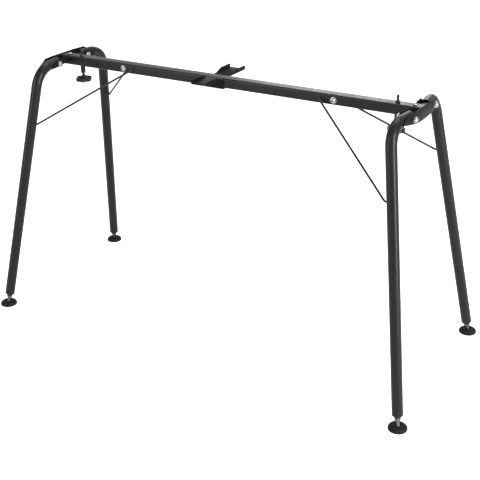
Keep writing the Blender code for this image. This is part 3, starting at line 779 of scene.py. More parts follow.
def dress(piece: bpy.types.Object, node: str, slot: Slot, body: str = "stand") -> bpy.types.Object:
    """Paints a piece, puts it in the place of its plain node and makes it ride on a body.

    Args:
        piece: The finished piece, in place.
        node: The plain node that it stands for.
        slot: The material slot.
        body: The body that carries it.

    Returns:
        The piece.
    """
    piece.name = node + "_detail"
    piece.data.name = piece.name
    piece.data.materials.clear()
    piece.data.materials.append(MATERIALS[slot])
    piece.data.shade_smooth()
    piece.data.set_sharp_from_angle(angle=SHARP_FROM)
    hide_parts(node)
    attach(piece, body)
    LOG.info("%s: %d faces, rides on %s", piece.name, len(piece.data.polygons), body)
    return piece


# Lines and sizes that the pieces share.


@dataclass(frozen=True)
class Layout:
    """The stand's main lines, and the sizes that more than one piece needs."""

    foot_x: float = 0.567
    foot_y: float = 0.235
    crown_x: float = 0.4675
    crown_y: float = 0.1245
    crown_z: float = 0.637
    crown_end_y: float = 0.045
    crown_lean: float = 0.12
    bend_radius: float = 0.050
    bend_steps: int = 28
    tube_end_z: float = 0.034
    tube_radius: float = 0.0127
    tube_wall: float = 0.0016
    beam_top: float = 0.649
    beam_height: float = 0.0235
    beam_depth: float = 0.030
    beam_wall: float = 0.0015
    outer_plate: float = 0.003
    inner_plate: float = 0.002
    plate_bend_y: float = 0.042
    frame_bolt_y: float = 0.057
    frame_bolt: float = 0.008
    frame_bolt_pitch: float = 0.00125
    stay_rod: float = 0.005
    left_front_stay_leg_z: float = 0.5015
    right_front_stay_leg_z: float = 0.4845
    rear_stay_leg_z: float = 0.504
    stay_beam_z: float = 0.637
    left_front_stay_x: float = -0.260
    right_front_stay_x: float = 0.254
    stay_bolt_x: float = 0.288
    stay_bolt: float = 0.006
    stay_bolt_pitch: float = 0.001
    bracket_x: float = -0.018
    knob_x: float = 0.4315
    clamp_screw: float = 0.006
    collar: float = 0.012
    end_screw_x: float = 0.470
    end_screw: float = 0.004
    gap: float = 0.0003
    running_gap: float = 0.0004

    def fitted(self, diameter: float) -> float:
        """The hole for something that stays still in it."""
        return diameter + 2 * self.gap

    def running(self, diameter: float) -> float:
        """The hole for something that slides or turns in it."""
        return diameter + 2 * self.running_gap

    def leg(self, side: Side, end: End, height: float) -> Vector:
        """The point of a leg's straight centre line at a height.

        Args:
            side: The leg's side.
            end: The leg's end.
            height: The height above the floor.

        Returns:
            The point.
        """
        foot = spot(side, self.foot_x, end.value * self.foot_y, 0.0)
        corner = spot(side, self.crown_x, end.value * self.crown_y, self.crown_z)
        return foot.lerp(corner, height / self.crown_z)

    def up(self, side: Side, end: End) -> Vector:
        """The unit vector up a leg."""
        return (self.leg(side, end, self.crown_z) - self.leg(side, end, 0.0)).normalized()

    def level(self, side: Side, end: End, across: float) -> Vector:
        """The point of a leg's level centre line at a distance from the beam's centre line."""
        out = self.crown_x + self.crown_lean * (self.crown_y - across)
        return spot(side, out, end.value * across, self.crown_z)

    def along(self, side: Side, end: End) -> Vector:
        """The level unit vector along a leg's level end, away from the beam."""
        return (self.level(side, end, self.crown_y) - self.level(side, end, 0.0)).normalized()

    def outward(self, side: Side, end: End) -> Vector:
        """The level unit vector out of the stand, square to a leg's level end."""
        return Vector((side.value, end.value * self.crown_lean, 0.0)).normalized()

    def leg_path(self, side: Side, end: End, overrun: float) -> list[Vector]:
        """A leg's centre line from its foot round its bend.

        Args:
            side: The leg's side.
            end: The leg's end.
            overrun: How far the line runs on past both of its ends.

        Returns:
            The points of the line.
        """
        foot = self.leg(side, end, self.tube_end_z)
        corner = self.leg(side, end, self.crown_z)
        stop = self.level(side, end, self.crown_end_y)
        level = (stop - corner).normalized()
        corners = [foot - self.up(side, end) * overrun, corner, stop + level * overrun]
        return rounded_path(corners, self.bend_radius, self.bend_steps)

    def beam_bottom(self) -> float:
        """The height of the beam's underside."""
        return self.beam_top - self.beam_height

    def beam_middle(self) -> float:
        """The height of the beam's centre line."""
        return self.beam_top - self.beam_height / 2

    def plate_x(self) -> float:
        """The inner face of an outer plate past the beam's end."""
        offset = (self.tube_radius + self.gap) * math.hypot(1.0, self.crown_lean)
        return self.level(Side.RIGHT, End.REAR, self.plate_bend_y).x + offset

    def stay_in_leg(self, side: Side, end: End) -> Vector:
        """The point of a leg's centre line at which its stay enters.

        Args:
            side: The leg's side.
            end: The leg's end.

        Returns:
            The point.
        """
        front = self.left_front_stay_leg_z if side is Side.LEFT else self.right_front_stay_leg_z
        return self.leg(side, end, self.rear_stay_leg_z if end is End.REAR else front)

    def front_stay_x(self, side: Side) -> float:
        """Where a front stay hooks into the beam."""
        return self.left_front_stay_x if side is Side.LEFT else self.right_front_stay_x

    def bolt_seats(self, side: Side, end: End) -> tuple[Vector, Vector]:
        """The seats of a frame bolt.

        Args:
            side: The leg's side.
            end: The leg's end.

        Returns:
            The seat of the nut, inside, and the seat of the head, outside.
        """
        middle = self.level(side, end, self.frame_bolt_y)
        inner = self.tube_radius + self.inner_plate + 2 * self.gap
        outer = self.tube_radius + self.outer_plate + 2 * self.gap
        return middle - self.outward(side, end) * inner, middle + self.outward(side, end) * outer

    def frame_bolt_drill(self, side: Side, end: End) -> bpy.types.Object:
        """The cutter for a frame bolt's hole."""
        return drill(self.fitted(self.frame_bolt), *self.bolt_seats(side, end))

    def leg_relief(self, side: Side, end: End) -> bpy.types.Object:
        """The cutter that keeps a plate clear of a leg."""
        return bar("relief", self.leg_path(side, end, overrun=5 * MM), self.tube_radius + self.gap)


LAYOUT = Layout()
FRAME_THREAD = ScrewThread(LAYOUT.frame_bolt, LAYOUT.frame_bolt_pitch)
STAY_THREAD = ScrewThread(LAYOUT.stay_bolt, LAYOUT.stay_bolt_pitch)


# Fasteners, each built along its own Z from its seat.


@dataclass(frozen=True)
class Hexagon:
    """A cold headed hexagon from Z 0 up, its corners chamfered. A nut has no dome, a head may have one."""

    flats: float
    height: float
    dome: float = 0.0
    chamfer: float = math.radians(30)
    # The turned barrel that chamfers the hexagon clears its corners. Its rim and the middle of its dome
    # lie inside the flats.
    clear_share: float = 1.01
    rim_share: float = 0.97
    crest_share: float = 0.06
    dome_steps: int = 8
    sink: float = 0.4 * MM

    def barrel(self) -> list[Point2]:
        """The turned profile that takes the corners off.

        Returns:
            The profile, chamfered on top where there is a dome, and otherwise on both faces.
        """
        corner = self.flats / 2 / math.cos(math.pi / 6) * self.clear_share
        rim = self.flats / 2 * self.rim_share
        drop = (corner - rim) * math.tan(self.chamfer)
        if not self.dome:
            return [(rim, 0.0), (corner, drop), (corner, self.height - drop), (rim, self.height)]
        turns = [math.pi / 2 * step / self.dome_steps for step in range(self.dome_steps)]
        arc = [(rim * math.cos(turn), self.height + self.dome * math.sin(turn)) for turn in turns]
        crest = (rim * self.crest_share, self.height + self.dome)
        return [(corner, 0.0), (corner, self.height - drop), *arc, crest]

    def build(self, name: str) -> bpy.types.Object:
        """Builds the hexagon.

        Args:
            name: The object's name.

        Returns:
            The solid.
        """
        top = self.height + self.dome
        prism = loft(name, [hexagon(self.flats, 0.0), hexagon(self.flats, top)])
        return combine(prism, Joining.KEEP_COMMON, lathe("barrel", self.barrel(), steps=64))

    def build_nut(self, name: str, bore: float) -> bpy.types.Object:
        """Builds the hexagon with a bore that is countersunk at both ends.

        Args:
            name: The object's name.
            bore: The bore's diameter.

        Returns:
            The nut.
        """
        wide = bore / 2 + 2 * self.sink
        hole = lathe("bore", [(wide, -self.sink), (bore / 2, self.sink), (bore / 2, self.height - self.sink),
                              (wide, self.height + self.sink)], steps=32)
        return combine(self.build(name), Joining.CUT, hole)


# Sub-assemblies.


@dataclass
class Beam:
    """The cross beam: rectangular tube with rolled corners, open at both ends."""

    corner_radius: float = 0.004
    corner_steps: int = 8
    edge: float = 0.4 * MM

    def outline(self, inset: float) -> list[Point2]:
        """The beam's section in Y and Z.

        Args:
            inset: How far the section is drawn in.

        Returns:
            The section's points about the beam's centre line.
        """
        half_depth = LAYOUT.beam_depth / 2 - inset
        half_height = LAYOUT.beam_height / 2 - inset
        radius = self.corner_radius - inset
        corners = [(half_depth, half_height), (-half_depth, half_height), (-half_depth, -half_height),
                   (half_depth, -half_height)]
        points: list[Point2] = []
        for index, (across, up) in enumerate(corners):
            centre = (across - math.copysign(radius, across), up - math.copysign(radius, up))
            for step in range(self.corner_steps + 1):
                turn = math.pi / 2 * (index + step / self.corner_steps)
                points.append((centre[0] + radius * math.cos(turn), centre[1] + radius * math.sin(turn)))
        return points

    def section(self, inset: float, place: float) -> list[Vector]:
        """A ring of the beam at a place along it."""
        return [Vector((place, across, LAYOUT.beam_middle() + up)) for across, up in self.outline(inset)]

    def side_holes(self, side: Side) -> list[bpy.types.Object]:
        """The cutters for one half of the beam.

        Args:
            side: The half.

        Returns:
            The cutters for the knob's screw and collar, the stay bolt, the front stay and the end screw.
        """
        face = LAYOUT.beam_depth / 2
        top = spot(side, LAYOUT.knob_x, 0.0, LAYOUT.beam_top)
        middle = spot(side, LAYOUT.knob_x, 0.0, LAYOUT.beam_middle())
        bottom = spot(side, LAYOUT.knob_x, 0.0, LAYOUT.beam_bottom())
        bolt = spot(side, LAYOUT.stay_bolt_x, 0.0, LAYOUT.stay_beam_z)
        hook = Vector((LAYOUT.front_stay_x(side), -face, LAYOUT.stay_beam_z))
        screw = spot(side, LAYOUT.end_screw_x, 0.0, LAYOUT.beam_top)
        return [drill(LAYOUT.running(LAYOUT.clamp_screw), middle, top),
                drill(LAYOUT.running(LAYOUT.collar), bottom, bottom + Z_AXIS * OVERLAP),
                drill(LAYOUT.fitted(LAYOUT.stay_bolt), bolt - Y_AXIS * face, bolt + Y_AXIS * face),
                drill(LAYOUT.running(LAYOUT.stay_rod), hook, hook + Y_AXIS * OVERLAP),
                drill(LAYOUT.fitted(LAYOUT.end_screw), screw - Z_AXIS * OVERLAP, screw)]

    def build(self) -> None:
        """Builds the beam with the holes that its neighbours need."""
        half = LAYOUT.plate_x() - LAYOUT.gap
        rings = [self.section(self.edge, -half), self.section(0.0, -half + self.edge),
                 self.section(0.0, half - self.edge), self.section(self.edge, half),
                 self.section(LAYOUT.beam_wall, half), self.section(LAYOUT.beam_wall, -half)]
        under = Vector((LAYOUT.bracket_x, 0.0, LAYOUT.beam_bottom()))
        holes = [*self.side_holes(Side.LEFT), *self.side_holes(Side.RIGHT),
                 drill(LAYOUT.fitted(LAYOUT.stay_bolt), under, under + Z_AXIS * OVERLAP)]
        beam = combine(loft("beam", rings, closed=True), Joining.CUT, *holes)
        dress(beam, "beam", Slot.FRAME)


@dataclass
class Leg:
    """One leg: round tube with one bend, a bolt hole at its level end and a hole for its stay."""

    side: Side
    end: End
    sides: int = 56
    entry_share: float = 0.8

    def build(self) -> None:
        """Builds the leg."""
        radius = LAYOUT.tube_radius
        node = label("leg", self.side, self.end)
        path = LAYOUT.leg_path(self.side, self.end, 0.0)
        tube = bar(node, path, radius, radius - LAYOUT.tube_wall, self.sides)
        inside = LAYOUT.stay_in_leg(self.side, self.end)
        inward = -X_AXIS * self.side.value
        entry = drill(LAYOUT.running(LAYOUT.stay_rod), inside + inward * radius * self.entry_share,
                      inside + inward * radius)
        combine(tube, Joining.CUT, LAYOUT.frame_bolt_drill(self.side, self.end), entry)
        dress(tube, node, Slot.FRAME)


@dataclass
class CrownPlates:
    """The crescent plate outside a side's legs and the small plate inside each leg's level end."""

    side: Side
    half_length: float = 0.1025
    flat_half: float = 0.075
    top: float = 0.651
    tip: float = 0.634
    belly: float = 0.6215
    belly_steps: int = 40
    tip_height: float = 0.003
    end_margin: float = 0.005
    bend: float = 0.015
    tongue_length: float = 0.035
    tongue_width: float = 0.022
    tongue_thickness: float = 0.003
    tongue_corner: float = 0.002
    edge: float = 0.0006
    inner_outline: tuple[Point2, ...] = ((-0.040, -0.0049), (0.030, -0.007), (0.026, -0.001),
                                         (0.002, 0.0105), (-0.030, 0.0115), (-0.040, 0.004))
    inner_corner: float = 0.003
    inner_edge: float = 0.0004

    def crescent(self) -> list[Point2]:
        """The outer plate's outline in Y and Z: straight on top, with a curved belly and small tips.

        Returns:
            The outline.
        """
        sag = self.tip - self.belly
        radius = (self.half_length ** 2 + sag ** 2) / (2 * sag)
        reach = math.asin(self.half_length / radius)
        belly = []
        for step in range(self.belly_steps + 1):
            turn = -math.pi / 2 - reach + 2 * reach * step / self.belly_steps
            belly.append((radius * math.cos(turn), self.belly + radius + radius * math.sin(turn)))
        tip_top = self.tip + self.tip_height
        return belly + [(self.half_length, tip_top), (self.flat_half, self.top), (-self.flat_half, self.top),
                        (-self.half_length, tip_top)]

    def plan(self) -> list[Point2]:
        """The outer plate seen from above: flat past the beam, then leaning back along each leg.

        Returns:
            The outline in X and Y.
        """
        thick = LAYOUT.outer_plate * math.hypot(1.0, LAYOUT.crown_lean)
        plate_x = LAYOUT.plate_x()
        end_y = self.half_length + self.end_margin
        end_x = plate_x - LAYOUT.crown_lean * (end_y - LAYOUT.plate_bend_y)
        inner = fillet([(end_x, end_y), (plate_x, LAYOUT.plate_bend_y), (plate_x, -LAYOUT.plate_bend_y),
                        (end_x, -end_y)], self.bend, steps=6)
        outer = [(across + thick, along) for across, along in reversed(inner)]
        return [(self.side.value * across, along) for across, along in inner + outer]

    def build_tongue(self, height: float) -> bpy.types.Object:
        """Builds the tongue that the beam's end takes.

        Args:
            height: The height of its middle.

        Returns:
            The tongue.
        """
        length = self.tongue_length + LAYOUT.outer_plate / 2
        across, along = length / 2, self.tongue_width / 2
        outline = fillet([(across, along), (-across, along), (-across, -along), (across, -along)],
                         self.tongue_corner, closed=True)
        tongue = extrude("tongue", outline, self.tongue_thickness)
        tongue.location = spot(self.side, LAYOUT.plate_x() - self.tongue_length + length / 2, 0.0, height)
        return tongue

    def build_outer(self) -> None:
        """Builds the crescent plate with its tongue in the beam's end."""
        node = label("outer_plate", self.side)
        tall = self.top - self.belly
        plate = extrude(node, self.plan(), 2 * tall)
        plate.location.z = (self.top + self.belly) / 2
        profile = extrude("profile", self.crescent(), 2 * tall)
        place_sheet(profile, spot(self.side, LAYOUT.plate_x(), 0.0, 0.0), Y_AXIS, Z_AXIS)
        soften(combine(plate, Joining.KEEP_COMMON, profile), self.edge, angle=50.0)
        tongue_z = LAYOUT.beam_top - LAYOUT.beam_wall - LAYOUT.gap - self.tongue_thickness / 2
        combine(plate, Joining.JOIN, self.build_tongue(tongue_z))
        screw = spot(self.side, LAYOUT.end_screw_x, 0.0, tongue_z)
        holes = [drill(LAYOUT.fitted(LAYOUT.end_screw), screw, screw + Z_AXIS * OVERLAP)]
        for end in End:
            holes += [LAYOUT.leg_relief(self.side, end), LAYOUT.frame_bolt_drill(self.side, end)]
        dress(combine(plate, Joining.CUT, *holes), node, Slot.PLATE)

    def build_inner(self, end: End) -> None:
        """Builds the small plate inside one leg's level end.

        Args:
            end: The leg's end.
        """
        node = label("inner_plate", self.side, end)
        outline = fillet(list(self.inner_outline), self.inner_corner, closed=True)
        plate = extrude(node, outline, LAYOUT.inner_plate, self.inner_edge)
        offset = LAYOUT.tube_radius + LAYOUT.gap + LAYOUT.inner_plate / 2
        centre = LAYOUT.level(self.side, end, LAYOUT.frame_bolt_y) - LAYOUT.outward(self.side, end) * offset
        place_sheet(plate, centre, LAYOUT.along(self.side, end), Z_AXIS)
        combine(plate, Joining.CUT, LAYOUT.leg_relief(self.side, end),
                LAYOUT.frame_bolt_drill(self.side, end))
        dress(plate, node, Slot.PLATE)

    def build(self) -> None:
        """Builds the three plates of a side."""
        self.build_outer()
        for end in End:
            self.build_inner(end)


@dataclass
class FrameBolt:
    """The domed hex bolt through a leg and its plates, with its nut inside."""

    side: Side
    end: End
    flats: float = 0.013
    hex_height: float = 0.0055
    head_height: float = 0.0095
    nut_height: float = 0.006
    beyond_nut: float = 0.0015
    threaded: float = 0.016

    def build(self) -> None:
        """Builds the bolt and the nut."""
        nut_seat, seat = LAYOUT.bolt_seats(self.side, self.end)
        outward = LAYOUT.outward(self.side, self.end)
        reach = (seat - nut_seat).length + self.nut_height + self.beyond_nut
        node = label("frame_bolt", self.side, self.end)
        bolt = Hexagon(self.flats, self.hex_height, self.head_height - self.hex_height).build(node)
        combine(bolt, Joining.JOIN, FRAME_THREAD.build("shank", -reach, OVERLAP, -reach + self.threaded))
        dress(aim(bolt, seat, outward), node, Slot.ZINC)
        node = label("frame_nut", self.side, self.end)
        nut = Hexagon(self.flats, self.nut_height).build_nut(node, LAYOUT.fitted(LAYOUT.frame_bolt))
        dress(aim(nut, nut_seat, -outward), node, Slot.ZINC)


@dataclass
class EndScrew:
    """The pan head screw with a cross recess on the beam's top, near its end."""

    side: Side
    head: float = 0.010
    head_height: float = 0.004
    length: float = 0.008
    pitch: float = 0.0007
    recess: float = 0.0048
    recess_foot_share: float = 0.35
    recess_width: float = 0.0011
    recess_depth: float = 0.0024
    # The broken lower edge, and then the pan's curve as shares of the head's radius and height.
    edge: Point2 = (0.0001, 0.00015)
    pan: tuple[Point2, ...] = ((1.0, 0.35), (0.95, 0.62), (0.84, 0.8), (0.66, 0.92), (0.42, 0.98),
                               (0.1, 1.0))

    def build(self) -> None:
        """Builds the screw."""
        radius = self.head / 2
        height = self.head_height
        node = label("end_screw", self.side)
        curve = [(radius * out, height * up) for out, up in self.pan]
        screw = lathe(node, [(radius - self.edge[0], 0.0), (radius, self.edge[1]), *curve])
        shank = ScrewThread(LAYOUT.end_screw, self.pitch).build("shank", -self.length, OVERLAP, -RUNOUT)
        combine(screw, Joining.JOIN, shank)
        foot = self.recess / 2 * self.recess_foot_share
        low = height - self.recess_depth
        high = height + OVERLAP
        for turn in (0.0, math.pi / 2):
            wing = [(-foot, low), (foot, low), (self.recess / 2, high), (-self.recess / 2, high)]
            across = Vector((math.cos(turn), math.sin(turn), 0.0))
            slot = place_sheet(extrude("slot", wing, self.recess_width), Vector(), across, Z_AXIS)
            combine(screw, Joining.CUT, slot)
        seat = spot(self.side, LAYOUT.end_screw_x, 0.0, LAYOUT.beam_top + LAYOUT.gap)
        dress(aim(screw, seat, Z_AXIS), node, Slot.ZINC)


@dataclass
class Stay:
    """A rod stay: the front one hooks into the beam's face, the rear one has an eye round a bolt."""

    side: Side
    end: End
    bend_radius: float = 0.008
    bend_steps: int = 12
    sides: int = 24
    standoff: float = 0.0045
    in_tube: float = 0.009
    hook: float = 0.0045
    eye: float = 0.016
    eye_neck: float = 0.014
    eye_rounding: float = 0.002

    def build_rod(self, node: str, upper: list[Vector]) -> bpy.types.Object:
        """Builds the bent rod.

        Args:
            node: The stay's node.
            upper: The corners and the end of its upper part.

        Returns:
            The rod, which starts inside the leg.
        """
        entry = LAYOUT.stay_in_leg(self.side, self.end)
        inward = -X_AXIS * self.side.value
        inside = entry + inward * (LAYOUT.tube_radius - self.in_tube)
        path = rounded_path([inside, self.beside_leg(), *upper], self.bend_radius, self.bend_steps)
        return bar(node, path, LAYOUT.stay_rod / 2, sides=self.sides)

    def beside_leg(self) -> Vector:
        """The corner at which the rod turns into its leg."""
        inward = -X_AXIS * self.side.value
        return LAYOUT.stay_in_leg(self.side, self.end) + inward * (LAYOUT.tube_radius + self.standoff)

    def build_front(self, node: str) -> bpy.types.Object:
        """Builds the front stay with its hook in the beam.

        Args:
            node: The stay's node.

        Returns:
            The stay.
        """
        face = LAYOUT.beam_depth / 2
        upper = Vector((LAYOUT.front_stay_x(self.side), -face - self.standoff, LAYOUT.stay_beam_z))
        return self.build_rod(node, [upper, upper + Y_AXIS * (self.standoff + self.hook)])

    def build_rear(self, node: str) -> bpy.types.Object:
        """Builds the rear stay with its eye round the stay bolt.

        Args:
            node: The stay's node.

        Returns:
            The stay.
        """
        rod = LAYOUT.stay_rod / 2
        hole = LAYOUT.fitted(LAYOUT.stay_bolt)
        centre = spot(self.side, LAYOUT.stay_bolt_x, LAYOUT.beam_depth / 2 + LAYOUT.gap + rod,
                      LAYOUT.stay_beam_z)
        fall = self.beside_leg() - centre
        fall.y = 0.0
        fall.normalize()
        stay = self.build_rod(node, [centre + fall * self.eye_neck, centre + fall * (hole / 2 + rod)])
        corners = [(self.eye / 2, -rod), (self.eye / 2, rod), (hole / 2, rod), (hole / 2, -rod)]
        eye = lathe("eye", fillet(corners, self.eye_rounding, steps=5, closed=True), closed=True)
        combine(stay, Joining.JOIN, aim(eye, centre, Y_AXIS))
        return combine(stay, Joining.CUT, drill(hole, centre - Y_AXIS * rod, centre + Y_AXIS * rod))

    def build(self) -> None:
        """Builds the stay."""
        node = label("stay", self.side, self.end)
        stay = self.build_front(node) if self.end is End.FRONT else self.build_rear(node)
        dress(stay, node, Slot.ROD)


@dataclass
class StayBolt:
    """The socket head bolt through the beam, its washer in front and its nut behind the rear stay's eye."""

    side: Side
    head: float = 0.0105
    head_height: float = 0.004
    head_edge: Point2 = (0.0002, 0.0003)
    flank_share: float = 0.6
    face_share: float = 0.78
    cap_share: float = 0.1
    head_rounding: float = 0.0008
    recess_flats: float = 0.0056
    recess_depth: float = 0.0032
    recess_tip: float = 0.0006
    recess_tip_share: float = 0.2
    threaded: float = 0.008
    washer: float = 0.015
    washer_thickness: float = 0.0013
    washer_rounding: float = 0.0003
    nut_flats: float = 0.010
    nut_height: float = 0.005

    def build_head(self, node: str) -> bpy.types.Object:
        """Builds the round head.

        Args:
            node: The bolt's node.

        Returns:
            The head, without its recess.
        """
        radius = self.head / 2
        top = self.head_height
        profile = [(radius - self.head_edge[0], 0.0), (radius, self.head_edge[1]),
                   (radius, top * self.flank_share), (radius * self.face_share, top),
                   (radius * self.cap_share, top)]
        return lathe(node, fillet(profile, self.head_rounding))

    def build_recess(self) -> bpy.types.Object:
        """Builds the cutter for the hexagon recess.

        Returns:
            The cutter, with the cone that a punch leaves at the bottom.
        """
        low = self.head_height - self.recess_depth
        tip = circle(self.recess_flats * self.recess_tip_share, low - self.recess_tip, 6)
        return loft("recess", [tip, hexagon(self.recess_flats, low),
                               hexagon(self.recess_flats, self.head_height + OVERLAP)])

    def build(self) -> None:
        """Builds the bolt, the washer and the nut."""
        face = LAYOUT.beam_depth / 2
        hole = LAYOUT.fitted(LAYOUT.stay_bolt)
        front = spot(self.side, LAYOUT.stay_bolt_x, -face - LAYOUT.gap, LAYOUT.stay_beam_z)
        node = label("stay_washer", self.side)
        ring = sleeve(node, self.washer, hole, self.washer_thickness, self.washer_rounding)
        dress(aim(ring, front, -Y_AXIS), node, Slot.ZINC)
        seat = front - Y_AXIS * (self.washer_thickness + LAYOUT.gap)
        nut_seat = spot(self.side, LAYOUT.stay_bolt_x, face + LAYOUT.stay_rod + 2 * LAYOUT.gap,
                        LAYOUT.stay_beam_z)
        reach = nut_seat.y - seat.y + self.nut_height + LAYOUT.gap
        node = label("stay_bolt", self.side)
        bolt = self.build_head(node)
        combine(bolt, Joining.JOIN, STAY_THREAD.build("shank", -reach, OVERLAP, -reach + self.threaded))
        combine(bolt, Joining.CUT, self.build_recess())
        dress(aim(bolt, seat, -Y_AXIS), node, Slot.ZINC)
        node = label("stay_nut", self.side)
        nut = Hexagon(self.nut_flats, self.nut_height).build_nut(node, hole)
        dress(aim(nut, nut_seat, Y_AXIS), node, Slot.ZINC)


@dataclass
class CentreBracket:
    """The pressed bracket: a saddle under the beam with a level flanged wing to the front and rear."""

    width: float = 0.044
    reach: float = 0.085
    thickness: float = 0.002
    flange_height: float = 0.010
    flange_rise: float = 0.028
    flange_rounding: float = 0.0025
    # The flanges stop this far short of the sheet's own faces, so that no two faces lie on each other.
    flange_inset: float = 0.00001
    bend: float = 0.0022
    inner_bend: float = 0.0003
    edge: float = 0.0003
    screw_flats: float = 0.010
    screw_head: float = 0.004
    screw_length: float = 0.012
    nut_height: float = 0.005

    def section(self) -> list[Point2]:
        """The bracket's section in Y and Z, with its bends rounded.

        Returns:
            The section.
        """
        inner_y = LAYOUT.beam_depth / 2 + LAYOUT.gap
        outer_y = inner_y + self.thickness
        strap = LAYOUT.beam_bottom() - LAYOUT.gap
        low = strap - self.thickness
        top = LAYOUT.beam_top
        web = top - self.thickness
        upper = fillet([(self.reach, top), (inner_y, top), (inner_y, strap), (-inner_y, strap),
                        (-inner_y, top), (-self.reach, top)], self.inner_bend, steps=2)
        lower = fillet([(-self.reach, web), (-outer_y, web), (-outer_y, low), (outer_y, low), (outer_y, web),
                        (self.reach, web)], self.bend)
        return upper + lower

    def build_flanges(self, centre: Vector) -> list[bpy.types.Object]:
        """Builds the four upturned flanges.

        Args:
            centre: The bracket's place on the beam's centre line.

        Returns:
            The flanges.
        """
        web = LAYOUT.beam_top - self.thickness
        top = web + self.flange_height
        start = LAYOUT.beam_depth / 2 + LAYOUT.gap + self.thickness
        stop = self.reach - self.flange_inset
        wedge = fillet([(start, web), (stop, web), (stop, top), (start + self.flange_rise, top)],
                       self.flange_rounding, steps=5, closed=True)
        flanges = []
        for end in End:
            outline = [(end.value * along, up) for along, up in wedge]
            for side in Side:
                offset = spot(side, self.width / 2 - self.thickness / 2 - self.flange_inset, 0.0, 0.0)
                flange = extrude("flange", outline, self.thickness)
                flanges.append(place_sheet(flange, centre + offset, Y_AXIS, Z_AXIS))
        return flanges

    def build(self) -> None:
        """Builds the bracket, its screw and the nut inside the beam."""
        centre = Vector((LAYOUT.bracket_x, 0.0, 0.0))
        seat = centre + Z_AXIS * (LAYOUT.beam_bottom() - LAYOUT.gap - self.thickness)
        hole = LAYOUT.fitted(LAYOUT.stay_bolt)
        bracket = place_sheet(extrude("centre_bracket", self.section(), self.width), centre, Y_AXIS, Z_AXIS)
        combine(bracket, Joining.JOIN, *self.build_flanges(centre))
        combine(bracket, Joining.CUT, drill(hole, seat, seat + Z_AXIS * OVERLAP))
        dress(soften(bracket, self.edge, angle=55.0), "centre_bracket", Slot.PLATE)
        screw = Hexagon(self.screw_flats, self.screw_head).build("bracket_screw")
        combine(screw, Joining.JOIN, STAY_THREAD.build("shank", -self.screw_length, OVERLAP, -RUNOUT))
        dress(aim(screw, seat - Z_AXIS * LAYOUT.gap, -Z_AXIS), "bracket_screw", Slot.ZINC)
        nut_seat = centre + Z_AXIS * (LAYOUT.beam_bottom() + LAYOUT.beam_wall + LAYOUT.gap)
        nut = Hexagon(self.screw_flats, self.nut_height).build_nut("bracket_nut", hole)
        dress(aim(nut, nut_seat, Z_AXIS), "bracket_nut", Slot.ZINC)


